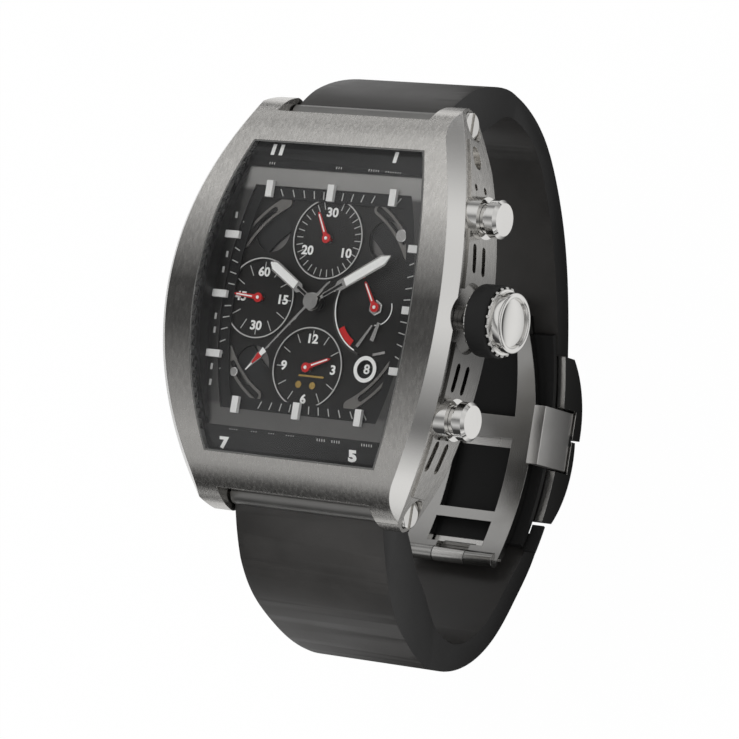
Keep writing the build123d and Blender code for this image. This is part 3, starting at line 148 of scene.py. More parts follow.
class WatchRubberSettings(PropertyGroup):
    """The strap's rubber."""

    rubber: color_property("Rubber", "Colour of the strap rubber", (0.012, 0.0115, 0.011))
    rubber_bloom: color_property("Bloom", "Colour of the faint bloom on the rubber", (0.062, 0.059, 0.056))
    chamfer: size_property("Chamfer", "Width of the strap's outer chamfer", 1.15, 0.1, 3.0)
    inner_round: size_property("Inner round", "Radius of the strap's inner edge", 0.45, 0.05, 1.0)


class WatchDialSettings(PropertyGroup):
    """Print, rings and hands of the dial."""

    print_height: size_property("Print", "Thickness of printed and applied marks", 0.03, 0.005, 0.2)
    tick_width: size_property("Tick", "Width of a minute line", 0.12, 0.02, 0.5)
    ring_width: size_property("Ring line", "Width of a counter's white ring", 0.14, 0.02, 0.5)
    counter_radius: size_property("Counter", "Radius of a counter's white ring", 4.66, 1.0, 8.0)
    numeral: size_property("Numeral", "Height of the counters' numerals", 1.45, 0.3, 4.0)
    hour_numeral: size_property("Hour numeral", "Height of the four bold hour numerals", 1.7, 0.3, 4.0)
    lume_width: size_property("Lume", "Width of the bright filling of the two long hands", 0.92, 0.1, 2.0)


class WatchCrownSettings(PropertyGroup):
    """Studs of the crown, edges of the clasp's buttons and linings of the clasp."""

    stud_radius: size_property("Stud", "Radius of a crown stud", 0.24, 0.05, 1.0)
    stud_count: IntProperty(name="Studs", description="Studs in one ring of the crown", default=22, min=6,
                            max=60)
    button_round: size_property("Button edge", "Radius of the clasp buttons' edges", 0.55, 0.05, 2.0)
    lining: size_property("Lining", "Thickness of the rubber lining in the clasp", 0.7, 0.1, 2.0)


# Small helpers for modelling

BEVEL_SEGMENTS = 3


def metres(lengths):
    """Lengths in millimetres, turned into metres."""
    return [length * MM for length in lengths]


def deselect():
    if bpy.context.mode != "OBJECT":
        bpy.ops.object.mode_set(mode="OBJECT")
    bpy.ops.object.select_all(action="DESELECT")


def choose(piece):
    deselect()
    piece.select_set(True)
    bpy.context.view_layer.objects.active = piece


def open_mesh(piece):
    """Opens a piece for editing, selected all over."""
    choose(piece)
    bpy.ops.object.mode_set(mode="EDIT")
    bpy.ops.mesh.select_all(action="SELECT")


def close_mesh():
    bpy.ops.object.mode_set(mode="OBJECT")


def merge_doubles():
    bpy.ops.mesh.select_all(action="SELECT")
    bpy.ops.mesh.remove_doubles(threshold=MICRON)


def apply_place(piece):
    choose(piece)
    bpy.ops.object.transform_apply(location=True, rotation=True, scale=True)


def placed(piece, matrix):
    """Moves a piece and keeps the move in its mesh."""
    piece.matrix_world = matrix
    apply_place(piece)
    return piece


def apply_modifiers(piece):
    choose(piece)
    for modifier in list(piece.modifiers):
        bpy.ops.object.modifier_apply(modifier=modifier.name)


def bevelled(piece, width):
    """Rounds a piece's sharp edges."""
    choose(piece)
    bpy.ops.object.modifier_add(type="BEVEL")
    piece.modifiers[-1].width = width * MM
    piece.modifiers[-1].segments = BEVEL_SEGMENTS
    piece.modifiers[-1].limit_method = "ANGLE"
    apply_modifiers(piece)
    return piece


def outward(piece):
    """Turns every face outwards."""
    open_mesh(piece)
    bpy.ops.mesh.normals_make_consistent(inside=False)
    close_mesh()


def smooth(piece, angle=35):
    choose(piece)
    bpy.ops.object.shade_smooth_by_angle(angle=radians(angle))


def joined(pieces):
    """Several modelled pieces as one."""
    deselect()
    for piece in pieces:
        piece.select_set(True)
    bpy.context.view_layer.objects.active = pieces[0]
    bpy.ops.object.join()
    return pieces[0]


def settle(piece, name, body, finish):
    """Names a piece, gives it its finish and lets it ride on its body; a list is joined first."""
    if isinstance(piece, list):
        piece = joined(piece)
    piece.name = name
    piece.data.name = name
    apply_place(piece)
    piece.data.materials.clear()
    piece.data.materials.append(FINISHES[finish])
    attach(piece, body)


def settle_print(pieces, name, finish):
    """Settles bright marks on the case."""
    settle(pieces, name, "case", finish)


def block(place, size, angle=0.0, taper=1.0, tilt=0.0):
    """A box given by its middle and its size, narrowed towards its far end, tilted and then turned."""
    bpy.ops.mesh.primitive_cube_add(size=1)
    piece = bpy.context.object
    if taper != 1.0:
        open_mesh(piece)
        mesh = bmesh.from_edit_mesh(piece.data)
        bpy.ops.mesh.select_mode(type="VERT")
        for vertex in mesh.verts:
            vertex.select_set(vertex.co.x > 0)
        mesh.select_flush_mode()
        bmesh.update_edit_mesh(piece.data)
        bpy.ops.transform.resize(value=(1, taper, 1))
        close_mesh()
    turn = Matrix.Rotation(radians(angle), 4, "Z") @ Matrix.Rotation(radians(tilt), 4, "X")
    piece.matrix_world = Matrix.Translation(metres(place)) @ turn @ Matrix.Diagonal((*metres(size), 1))
    return piece


def away_from(centre, angle, reach):
    """The point at a distance from a centre, along a direction in degrees."""
    return centre[0] + reach * cos(radians(angle)), centre[1] + reach * sin(radians(angle))


def ray_block(centre, angle, near, far, width, low, high, taper=1.0):
    """A box that points away from a centre, from a near to a far distance."""
    place = (*away_from(centre, angle, (near + far) / 2), (low + high) / 2)
    return block(place, (far - near, width, high - low), angle, taper)


def ring(centre, inner, outer, low, high, start=0.0, sweep=360.0, steps=72):
    """A flat ring or part of one: an upright rectangle, spun about the centre."""
    bpy.ops.mesh.primitive_plane_add(size=1)
    piece = bpy.context.object
    shift = Matrix.Translation(metres(((inner + outer) / 2, 0, (low + high) / 2)))
    spread = Matrix.Diagonal((*metres((outer - inner, high - low)), 1, 1))
    placed(piece, shift @ Matrix.Rotation(pi / 2, 4, "X") @ spread)
    open_mesh(piece)
    bpy.ops.mesh.delete(type="ONLY_FACE")
    bpy.ops.mesh.select_all(action="SELECT")
    bpy.ops.mesh.spin(steps=steps, angle=-radians(sweep), center=(0, 0, 0), axis=(0, 0, 1))
    merge_doubles()
    bpy.ops.mesh.select_all(action="SELECT")
    bpy.ops.mesh.fill_holes(sides=4)
    close_mesh()
    placed(piece, Matrix.Translation(metres((*centre, 0))) @ Matrix.Rotation(radians(start), 4, "Z"))
    outward(piece)
    return piece


def spread_about(piece, count, centre, axis):
    """Copies of a piece, evenly spread about an axis."""
    apply_place(piece)
    open_mesh(piece)
    bpy.ops.mesh.spin(steps=count, angle=tau, dupli=True, center=metres(centre), axis=axis)
    merge_doubles()
    close_mesh()
    return piece


def disc(centre, radius, low, high, sides=40, edge=0.0):
    """A round disc, with rounded edges where an edge is given."""
    bpy.ops.mesh.primitive_cylinder_add(vertices=sides, radius=radius * MM, depth=(high - low) * MM)
    piece = bpy.context.object
    piece.location = metres((*centre, (low + high) / 2))
    apply_place(piece)
    return bevelled(piece, edge) if edge else piece


def numeral(text, place, height, thickness, tilt=0.0, weight=0.0, wide=1.0):
    """A numeral as a thin mesh that lies on a face."""
    bpy.ops.object.text_add()
    piece = bpy.context.object
    piece.data.body = text
    piece.data.align_x = "CENTER"
    piece.data.align_y = "CENTER"
    piece.data.size = height * MM
    piece.data.extrude = thickness / 2 * MM
    piece.data.offset = weight * height * MM
    piece.data.resolution_u = 3
    bpy.ops.object.convert(target="MESH")
    piece = bpy.context.object
    lean = Matrix.Rotation(radians(tilt), 4, "X")
    piece.matrix_world = Matrix.Translation(metres(place)) @ lean @ Matrix.Diagonal((wide, 1, 1, 1))
    return piece


# Materials

BEVEL_SAMPLES = 4

# Numbers of a Mix node's colour sockets
MIX_SHARE, MIX_FIRST, MIX_SECOND, MIX_RESULT = 0, 6, 7, 2
# Numbers of a Mix node's sockets for plain numbers
MIX_LOW, MIX_HIGH, MIX_NUMBER = 2, 3, 0


def add_node(tree, kind, inputs=None, **traits):
    """A new shader node; each input, by name or number, takes a constant or the socket linked to it."""
    made = tree.nodes.new(kind)
    for name, value in traits.items():
        setattr(made, name, value)
    for key, value in (inputs or {}).items():
        if isinstance(value, bpy.types.NodeSocket):
            tree.links.new(value, made.inputs[key])
        else:
            made.inputs[key].default_value = value
    return made


def blend(tree, share, first, second, **traits):
    """A colour mixed from two by a share."""
    inputs = {MIX_SHARE: share, MIX_FIRST: first, MIX_SECOND: second}
    return add_node(tree, "ShaderNodeMix", inputs, data_type="RGBA", **traits).outputs[MIX_RESULT]


def blend_shaders(tree, share, first, second):
    return add_node(tree, "ShaderNodeMixShader", {0: share, 1: first, 2: second}).outputs["Shader"]


def level_ramp(tree, levels, place):
    """Greys by place: each level is a place from 0 to 1 and a brightness."""
    bands = add_node(tree, "ShaderNodeValToRGB", {"Fac": place})
    elements = bands.color_ramp.elements
    elements[0].position, elements[1].position = levels[0][0], levels[-1][0]
    for position, level in levels[1:-1]:
        elements.new(position)
    for element, (position, level) in zip(elements, levels):
        element.color = (level, level, level, 1)
    return bands.outputs["Color"]


def new_group(name, inputs, outputs):
    """A node group and its two ends; each socket is a name, a kind and its first value, if it has one."""
    tree = bpy.data.node_groups.new(name, "ShaderNodeTree")
    for direction, sockets in (("INPUT", inputs), ("OUTPUT", outputs)):
        for label, kind, *first in sockets:
            socket = tree.interface.new_socket(name=label, in_out=direction, socket_type="NodeSocket" + kind)
            if first:
                socket.default_value = first[0]
    return tree, tree.nodes.new("NodeGroupInput"), tree.nodes.new("NodeGroupOutput")


def variation_group():
    """Two tones and two roughnesses, mixed by a cloudy pattern."""
    tree = bpy.data.node_groups.get("Tone Variation")
    if tree:
        return tree
    tree, enter, leave = new_group(
        "Tone Variation",
        (("Vector", "Vector"), ("Scale", "Float", 300.0), ("Light", "Color"), ("Dark", "Color"),
         ("Low Roughness", "Float", 0.3), ("High Roughness", "Float", 0.4)),
        (("Color", "Color"), ("Roughness", "Float"), ("Cloud", "Float")))
    given = enter.outputs
    cloud = add_node(tree, "ShaderNodeTexNoise", {"Vector": given["Vector"], "Scale": given["Scale"],
                                                  "Detail": 5.0, "Roughness": 0.6}).outputs["Fac"]
    span = add_node(tree, "ShaderNodeMapRange", {"Value": cloud, "From Min": 0.3, "From Max": 0.7,
                                                 "To Min": given["Low Roughness"],
                                                 "To Max": given["High Roughness"]})
    tree.links.new(blend(tree, cloud, given["Dark"], given["Light"]), leave.inputs["Color"])
    tree.links.new(span.outputs["Result"], leave.inputs["Roughness"])
    tree.links.new(cloud, leave.inputs["Cloud"])
    return tree


def grain_group():
    """Fine lines drawn out along one direction."""
    tree = bpy.data.node_groups.get("Line Grain")
    if tree:
        return tree
    tree, enter, leave = new_group("Line Grain", (("Vector", "Vector"), ("Stretch", "Vector")),
                                   (("Height", "Float"),))
    stretch = add_node(tree, "ShaderNodeVectorMath",
                       {0: enter.outputs["Vector"], 1: enter.outputs["Stretch"]}, operation="MULTIPLY")
    lines = add_node(tree, "ShaderNodeTexNoise", {"Vector": stretch.outputs["Vector"], "Scale": 1.0,
                                                  "Detail": 3.0, "Roughness": 0.7})
    tree.links.new(lines.outputs["Fac"], leave.inputs["Height"])
    return tree


class Finish:
    """A material under construction, with its shader, its object coordinates and its normal."""

    def __init__(self, name):
        self.material = bpy.data.materials.new(name)
        self.material.use_nodes = True
        self.tree = self.material.node_tree
        self.shader = self.tree.nodes["Principled BSDF"]
        self.output = self.tree.nodes["Material Output"]
        coordinates = self.add("ShaderNodeTexCoord")
        self.place = coordinates.outputs["Object"]
        self.normal = coordinates.outputs["Normal"]

    def add(self, kind, inputs=None, **traits):
        return add_node(self.tree, kind, inputs, **traits)

    def math(self, operation, *values):
        """A number worked out from sockets and constants."""
        return self.add("ShaderNodeMath", dict(enumerate(values)), operation=operation).outputs["Value"]

    def link(self, source, target):
        self.tree.links.new(source, target)

    def set(self, **values):
        """Constant values on the shader's own sockets."""
        for name, value in values.items():
            self.shader.inputs[name.replace("_", " ")].default_value = value

    def vary(self, light, dark, low, high, scale):
        """Base colour and roughness from the cloudy pattern."""
        group = self.add("ShaderNodeGroup", node_tree=variation_group())
        self.link(self.place, group.inputs["Vector"])
        group.inputs["Scale"].default_value = scale
        group.inputs["Light"].default_value = (*light, 1)
        group.inputs["Dark"].default_value = (*dark, 1)
        group.inputs["Low Roughness"].default_value = low
        group.inputs["High Roughness"].default_value = high
        self.paint(group.outputs["Color"])
        self.link(group.outputs["Roughness"], self.shader.inputs["Roughness"])
        return group

    def paint(self, color):
        self.link(color, self.shader.inputs["Base Color"])

    def grain(self, stretch):
        """The height of the drawn-out lines."""
        group = self.add("ShaderNodeGroup", node_tree=grain_group())
        self.link(self.place, group.inputs["Vector"])
        group.inputs["Stretch"].default_value = stretch
        return group.outputs["Height"]

    def paint_light_along_y(self, color, levels):
        """Paints light and shade into a colour: multiplies it by levels that change along the watch, at
        distances in millimetres.
        """
        first, last = levels[0][0], levels[-1][0]
        parts = self.add("ShaderNodeSeparateXYZ", {"Vector": self.place})
        span = self.add("ShaderNodeMapRange",
                        {"Value": parts.outputs["Y"], "From Min": first * MM, "From Max": last * MM})
        shares = [((place - first) / (last - first), level) for place, level in levels]
        painted_levels = level_ramp(self.tree, shares, span.outputs["Result"])
        return blend(self.tree, 1.0, color, painted_levels, blend_type="MULTIPLY")

    def sideways(self):
        """How far a face looks sideways, from 0 to 1."""
        parts = self.add("ShaderNodeSeparateXYZ", {"Vector": self.normal})
        return self.math("ABSOLUTE", parts.outputs["X"])

    def paint_flank_shade(self, color, dark, low, high):
        """Paints shade on the faces that look sideways, between a low and a high share."""
        share = self.add("ShaderNodeMapRange", {"Value": self.sideways(), "From Min": low, "From Max": high})
        self.paint(blend(self.tree, share.outputs["Result"], color, (*dark, 1)))

    def bump(self, height, strength, distance, edge=0.0):
        """A relief of a height pattern, over edges that are rounded by a radius in millimetres."""
        bump = self.add("ShaderNodeBump", {"Height": height, "Strength": strength, "Distance": distance})
        if edge:
            rounded = self.add("ShaderNodeBevel", {"Radius": edge * MM}, samples=BEVEL_SAMPLES)
            self.link(rounded.outputs["Normal"], bump.inputs["Normal"])
        self.link(bump.outputs["Normal"], self.shader.inputs["Normal"])


GRAIN_LENGTH = 14
GRAIN_DEPTH = 12 * MICRON
SATIN_SCALE = 180.0

# Painted reflection and shade of the case: levels along y, in millimetres, that darken the satin steel's
# middle and brighten it towards 12 o'clock
CASE_PAINTED_REFLECTION = ((-24, 1.0), (-16, 1.1), (-11, 0.75), (-4, 0.24), (1, 0.2), (6, 0.75), (12, 1.5), (24, 1.3))
CASE_CLOUD_SCALE = 3400.0
CASE_CLOUD_STRETCH = (1.0, 0.28, 1.0)
BEVEL_LEAN, BEVEL_LEAN_SPREAD, BEVEL_ROUGHNESS = 0.66, 0.2, 0.16

# Painted light and shade of the inner flange: levels along y, in millimetres, with a painted highlight on the
# 12 o'clock bar and painted shade on the side bars and the 6 o'clock bar
FLANGE_PAINTED_LIGHT = ((-16, 0.35), (-12.7, 0.3), (-12.2, 0.16), (12.2, 0.16), (12.7, 0.7), (18, 1.0))


def tone(color, share):
    return tuple(min(1.0, channel * share) for channel in color)


def metal(name, light, dark, low, high, stretch, strength=0.25, edge=0.0):
    """Metal with a cloudy tone and a drawn-out grain."""
    finish = Finish(name)
    finish.set(Metallic=1.0)
    finish.vary(light, dark, low, high, SATIN_SCALE)
    finish.bump(finish.grain(stretch), strength, GRAIN_DEPTH, edge)
    return finish


def coated(name, light, dark, low, high, scale=900.0, strength=0.15, coat=0.0):
    """Paint, plastic or rubber with a fine grain."""
    finish = Finish(name)
    group = finish.vary(light, dark, low, high, scale)
    finish.set(Specular_IOR_Level=0.25)
    if coat:
        finish.set(Coat_Weight=coat, Coat_Roughness=0.08)
    finish.bump(group.outputs["Cloud"], strength, 15 * MICRON)
    return finish


def case_steel(metals, stretch):
    """Satin steel with a painted reflection and shade along the case and polished bevels beside the bezel."""
    finish = Finish("case satin steel")
    finish.set(Metallic=1.0)
    group = finish.vary(metals.satin_light, metals.satin_dark, 0.2, 0.3, CASE_CLOUD_SCALE)
    drawn = finish.add("ShaderNodeVectorMath", {0: finish.place, 1: CASE_CLOUD_STRETCH}, operation="MULTIPLY")
    finish.link(drawn.outputs["Vector"], group.inputs["Vector"])
    # Painted reflection and shade: the satin colour multiplied by the levels along y
    reflection_painted_color = finish.paint_light_along_y(group.outputs["Color"], CASE_PAINTED_REFLECTION)
    bevel = finish.math("COMPARE", finish.sideways(), BEVEL_LEAN, BEVEL_LEAN_SPREAD)
    rough = finish.add("ShaderNodeMix", {MIX_SHARE: bevel, MIX_LOW: group.outputs["Roughness"],
                                         MIX_HIGH: BEVEL_ROUGHNESS}, data_type="FLOAT")
    finish.link(rough.outputs[MIX_NUMBER], finish.shader.inputs["Roughness"])
    finish.paint(blend(finish.tree, bevel, reflection_painted_color, (*metals.polished, 1)))
    finish.bump(finish.grain(stretch), 0.35, GRAIN_DEPTH, metals.edge_radius)
    return finish


def sapphire():
    """Clear crystal that lets light through to what lies under it."""
    finish = Finish("sapphire")
    finish.set(Transmission_Weight=1.0, IOR=1.34, Specular_IOR_Level=0.12)
    finish.vary((1, 1, 1), (0.985, 0.99, 0.995), 0.0, 0.015, 60.0)
    clear = finish.add("ShaderNodeBsdfTransparent")
    path = finish.add("ShaderNodeLightPath")
    surface = blend_shaders(finish.tree, path.outputs["Is Shadow Ray"], finish.shader.outputs["BSDF"],
                            clear.outputs["BSDF"])
    finish.link(surface, finish.output.inputs["Surface"])
    return finish


def striped_plate(metals):
    """Movement plate with straight decorative stripes."""
    finish = Finish("movement plate")
    finish.set(Metallic=1.0)
    finish.vary(tone(metals.movement, 1.3), tone(metals.movement, 0.8), 0.26, 0.4, 400.0)
    waves = finish.add("ShaderNodeTexWave", {"Scale": 75.0, "Vector": finish.place}, wave_type="BANDS",
                       bands_direction="DIAGONAL", wave_profile="SAW")
    finish.bump(waves.outputs["Fac"], 0.3, 25 * MICRON)
    return finish


def radial_metal(name, light, dark, low, high, scale):
    """Metal turned on a lathe: rings about the watch's centre."""
    finish = Finish(name)
    finish.set(Metallic=1.0)
    finish.vary(light, dark, low, high, 300.0)
    rings = finish.add("ShaderNodeTexWave", {"Scale": scale, "Distortion": 0.6, "Vector": finish.place},
                       wave_type="RINGS", rings_direction="Z")
    finish.bump(rings.outputs["Fac"], 0.2, 10 * MICRON)
    return finish


def rubber(colors):
    """Satin rubber with a faint bloom, a fine pebble and painted shade on the faces that look sideways."""
    finish = Finish("strap rubber")
    group = finish.vary(colors.rubber_bloom, colors.rubber, 0.36, 0.5, 90.0)
    # Painted shade on the strap's sides and chamfers
    finish.paint_flank_shade(group.outputs["Color"], tone(colors.rubber, 0.35), 0.12, 0.4)
    pebble = finish.add("ShaderNodeTexNoise", {"Scale": 9000.0, "Vector": finish.place})
    finish.bump(pebble.outputs["Fac"], 0.25, 18 * MICRON)
    return finish


def cover_steel(metals, stretch):
    """Satin steel of the clasp's covers, with painted shade on its sides."""
    finish = Finish("cover steel")
    finish.set(Metallic=1.0)
    group = finish.vary(metals.polished, tone(metals.polished, 0.75), 0.2, 0.3, SATIN_SCALE)
    # Painted shade on the covers' sides
    finish.paint_flank_shade(group.outputs["Color"], tone(metals.polished, 0.13), 0.7, 0.85)
    finish.bump(finish.grain(stretch), 0.2, GRAIN_DEPTH, metals.edge_radius)
    return finish


def flange_metal(stretch):
    """Grey metal of the inner flange, with a painted highlight along its 12 o'clock bar and painted shade
    elsewhere.
    """
    finish = Finish("grey flange")
    finish.set(Metallic=1.0)
    group = finish.vary((0.6, 0.59, 0.57), (0.4, 0.393, 0.38), 0.28, 0.4, SATIN_SCALE)
    # Painted highlight and shade along y
    finish.paint(finish.paint_light_along_y(group.outputs["Color"], FLANGE_PAINTED_LIGHT))
    finish.bump(finish.grain(stretch), 0.12, GRAIN_DEPTH)
    return finish


def make_finishes(metals, colors):
    """Every finish of the watch by a short name.

    metal() and coated() take a name, a light and a dark tone, a low and a high roughness, and then the
    grain's stretch or the cloud's scale, with the strength of their relief.
    """
    lines = 1.0 / (metals.grain * MM)
    along = (lines, lines / GRAIN_LENGTH, lines)
    across = (lines / GRAIN_LENGTH, lines, lines)
    even = (lines / 3, lines / 3, lines / 3)
    steel = metals.polished
    edge = metals.edge_radius
    shine = tone(steel, 0.88)
    table = {
        "case": case_steel(metals, along),
        "polished": metal("polished steel", steel, shine, 0.05, 0.11, even, 0.04, edge / 2),
        # A darker copy of the polished steel: painted shade on the strap tubes between case and strap
        "tube": metal("tube steel", tone(steel, 0.42), tone(steel, 0.3), 0.32, 0.42, even, 0.1),
        "clasp": metal("clasp steel", tone(steel, 1.25), steel, 0.3, 0.4, along, 0.12, edge),
        # A darker copy of the polished steel: painted dark reflection on the clasp bow
        "bow": metal("bow steel", tone(steel, 0.6), tone(steel, 0.42), 0.12, 0.2, even, 0.08, edge),
        "sapphire": sapphire(),
        "rubber": rubber(colors),
        # Lighter grey than the black seal rubber: a painted highlight for the thin bright line along the
        # crystal's edge
        "seal": coated("seal rubber", (0.16, 0.16, 0.155), (0.1, 0.1, 0.097), 0.4, 0.55),
        "grip": coated("crown rubber", (0.015, 0.015, 0.015), (0.008, 0.008, 0.008), 0.5, 0.65, 2500.0, 0.3),
        "flange black": coated("black flange", (0.012, 0.012, 0.012), (0.006, 0.006, 0.006), 0.3, 0.42,
                               1500.0, 0.1),
        "flange grey": flange_metal(across),
        "cover": cover_steel(metals, along),
        "track": coated("black track", (0.010, 0.010, 0.010), (0.005, 0.005, 0.005), 0.45, 0.6),
        "white": coated("white print", (0.86, 0.86, 0.84), (0.78, 0.78, 0.76), 0.5, 0.62, 2200.0, 0.08),
        "marker": coated("hour marker", (0.76, 0.76, 0.74), (0.66, 0.66, 0.65), 0.4, 0.5, 2200.0, 0.08),
        "print": coated("grey print", (0.5, 0.5, 0.485), (0.4, 0.4, 0.39), 0.5, 0.62, 2200.0, 0.08),
        "red": coated("red lacquer", (0.55, 0.012, 0.012), (0.42, 0.008, 0.008), 0.25, 0.35, 1200.0, 0.05,
                      0.4),
        "dial": coated("dark dial", (0.012, 0.0112, 0.0102), (0.003, 0.0028, 0.0026), 0.35, 0.5,
                       1500.0, 0.05),
        "arc": metal("grey bridge", (0.26, 0.25, 0.235), (0.17, 0.162, 0.152), 0.34, 0.46, even, 0.1),
        "ring": coated("dark ring", (0.04, 0.038, 0.036), (0.02, 0.019, 0.018), 0.3, 0.4),
        "hand": metal("hand steel", steel, shine, 0.06, 0.14, even, 0.05),
        "date": coated("date ring", (0.02, 0.02, 0.02), (0.01, 0.01, 0.01), 0.45, 0.6),
        "movement": striped_plate(metals),
        "cock": metal("cock steel", tone(steel, 0.5), tone(steel, 0.4), 0.2, 0.3, even, 0.1),
        "screw": metal("screw steel", tone(steel, 0.9), tone(steel, 0.8), 0.08, 0.16, even, 0.05),
        "gilt": radial_metal("gilt wheel", metals.gold, tone(metals.gold, 0.75), 0.18, 0.3, 900.0),
        "jewel": coated("ruby", (0.42, 0.004, 0.05), (0.3, 0.002, 0.03), 0.04, 0.1, 700.0, 0.02, 1.0),
        "rotor": radial_metal("rotor", (0.14, 0.135, 0.13), (0.08, 0.078, 0.075), 0.22, 0.34, 500.0),
        "spring": metal("spring steel", tone(steel, 0.8), tone(steel, 0.6), 0.2, 0.3, even),
    }
    return {key: finish.material for key, finish in table.items()}


FINISHES = {}

NODE_FINISHES = {
    "case": ("case_middle", "bezel", "side_plate_crown", "side_plate_left", "case_back"),
    "polished": ("lug_screws", "case_back_screws", "crown_tube", "pusher_tubes", "crown", "pusher_2",
                 "pusher_4", "clasp_hinge_pins"),
    "tube": ("strap_tubes_12", "strap_tubes_6"),
    "cover": ("clasp_cover_12", "clasp_cover_6"),
    "clasp": ("button_right", "button_left"),
    "bow": ("clasp_bow",),
    "sapphire": ("crystal", "back_crystal"),
    "rubber": ("strap_12", "strap_6"),
    "seal": ("crystal_seal",),
    "grip": ("crown_grip",),
    "flange black": ("rehaut",),
    "flange grey": ("inner_flange",),
    "track": ("minute_track",),
    "marker": ("hour_markers",),
    "dial": ("dial_plate",),
    "arc": ("dial_bridges",),
    "ring": ("counter_rings",),
    "hand": ("hour_hand", "minute_hand", "chrono_seconds_hand"),
    "red": ("minute_counter_hand", "hour_counter_hand", "reserve_hand", "small_seconds_hand"),
    "date": ("date_disc",),
    "movement": ("movement_holder", "main_plate", "barrel_bridge", "train_bridge"),
    "cock": ("balance_cock", "stem", "clutch_wheel", "escape_wheel"),
    "screw": ("movement_screws",),
    "gilt": ("fourth_wheel", "third_wheel", "centre_wheel", "mainspring_barrel", "balance_wheel"),
    "jewel": ("jewels",),
    "rotor": ("rotor",),
    "spring": ("pusher_springs", "button_springs"),
}


class WATCH_OT_finishes(Operator):
    """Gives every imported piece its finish"""

    bl_idname = "watch.finishes"
    bl_label = "Finishes"

    def execute(self, context):
        FINISHES.update(make_finishes(context.scene.watch_metal, context.scene.watch_rubber))
        for finish, names in NODE_FINISHES.items():
            for name in names:
                mesh = NODES[name].data
                mesh.materials.clear()
                mesh.materials.append(FINISHES[finish])
        return {"FINISHED"}


# Strap

STRAP_HUB = (-8.0, -14.0)
SIDE_LEAN = 0.9
CHAMFER_STEPS = 2
ROUND_STEPS = 3


def node_copy(node, name):
    """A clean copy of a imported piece: doubles merged, flat faces joined."""
    copy = NODES[node].copy()
    copy.data = NODES[node].data.copy()
    copy.parent = None
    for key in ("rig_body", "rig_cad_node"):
        if key in copy:
            del copy[key]
    copy.name = name
    bpy.context.scene.collection.objects.link(copy)
    open_mesh(copy)
    bpy.ops.mesh.remove_doubles(threshold=5 * MICRON)
    bpy.ops.mesh.dissolve_limited(angle_limit=radians(1.0))
    close_mesh()
    return copy


def select_long_edges(mesh, outer):
    """Selects the edges between a strap's side wall and its outer or inner face."""
    for edge in mesh.edges:
        edge.select_set(False)
        if len(edge.link_faces) != 2:
            continue
        sides = [face for face in edge.link_faces if abs(face.normal.x) > SIDE_LEAN]
        if len(sides) != 1:
            continue
        band = next(face for face in edge.link_faces if face is not sides[0])
        middle = (edge.verts[0].co + edge.verts[1].co) / 2
        away = Vector((0, middle.y - STRAP_HUB[0] * MM, middle.z - STRAP_HUB[1] * MM))
        if (band.normal.dot(away) > 0) == outer:
            edge.select_set(True)


def bevel_long_edges(piece, outer, width, segments):
    open_mesh(piece)
    bpy.ops.mesh.select_mode(type="EDGE")
    bpy.ops.mesh.select_all(action="DESELECT")
    mesh = bmesh.from_edit_mesh(piece.data)
    mesh.normal_update()
    select_long_edges(mesh, outer)
    bmesh.update_edit_mesh(piece.data)
    bpy.ops.mesh.bevel(offset=width * MM, segments=segments, affect="EDGES", clamp_overlap=True)
    close_mesh()


class WATCH_OT_straps(Operator):
    """Models both rubber strap halves with their outer chamfers and rounded inner edges"""

    bl_idname = "watch.straps"
    bl_label = "Straps"

    def execute(self, context):
        strap = context.scene.watch_rubber
        for node in ("strap_12", "strap_6"):
            piece = node_copy(node, node + "_rubber")
            bevel_long_edges(piece, True, strap.chamfer, CHAMFER_STEPS)
            bevel_long_edges(piece, False, strap.inner_round, ROUND_STEPS)
            outward(piece)
            smooth(piece, 28)
            settle(piece, node + "_rubber", node, "rubber")
            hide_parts(node)
        return {"FINISHED"}


# Dial

DIAL_TOP = 8.57
TRACK_TOP = 9.06
FLANGE_TOP = 9.36
RING_TOP = 8.83
CENTRE = (0, 0)
COUNTER_Y = 7.4
SECONDS_X = -8.0
RESERVE = (7.9, 0.1)
WINDOW = (7.75, -6.9)

# Inner face of the crystal, a part of a cylinder about x
GLASS_TOP = 11.6
GLASS_RADIUS = 62.8

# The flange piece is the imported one, made a little smaller about this height
FLANGE_SCALE = (0.997, 0.997, 0.955)
FLANGE_FOOT = 8.2

STRIP_Y = 15.5
STRIP_SIZE = (23.2, 0.95)
STRIP_DEPTH = 0.1
# Groups of small strokes on the end at 12 and the end at 6: their x and the group's length
STROKE_GROUPS = {
    1: ((-9.0, 1.2), (0.2, 1.2), (4.6, 1.6), (6.9, 2.4)),
    -1: ((-8.6, 1.4), (-5.6, 1.2), (-3.2, 1.2), (-0.8, 1.4), (3.4, 1.5), (5.4, 1.5), (9.4, 1.6)),
}
STROKE_STEP = 0.32
STROKE_INSET = 0.1
STROKE_DEPTH = 0.07
STROKE_SIZE = (0.12, 0.3)
HOUR_NUMERALS = (("11", -8.5, 17.0), ("1", 7.6, 17.05), ("7", -9.4, -16.95), ("5", 8.2, -16.8))
HOUR_NUMERAL_DEPTH = 0.06
HOUR_NUMERAL_WEIGHT, HOUR_NUMERAL_WIDE = 0.06, 1.3

TRACK_HALF_WIDTH, TRACK_HALF_LENGTH, TRACK_CORNER = 12.0, 12.2, 15.2
HALF_MINUTE_LINE = 0.45
SIDE_LINE_X = 13.5
SIDE_LINE_Y = (-10.2, -8.4, -4.2, -2.6, 2.8, 4.6, 9.2)
SIDE_LINE_TAPER = 140
SIDE_LINE_SIZE = (0.3, 0.7)


def glass_floor(y):
    """Height of the crystal's inner face, in millimetres."""
    return GLASS_TOP - GLASS_RADIUS + sqrt(GLASS_RADIUS ** 2 - y ** 2)


def glass_slope(y):
    return -degrees(atan2(y, sqrt(GLASS_RADIUS ** 2 - y ** 2)))


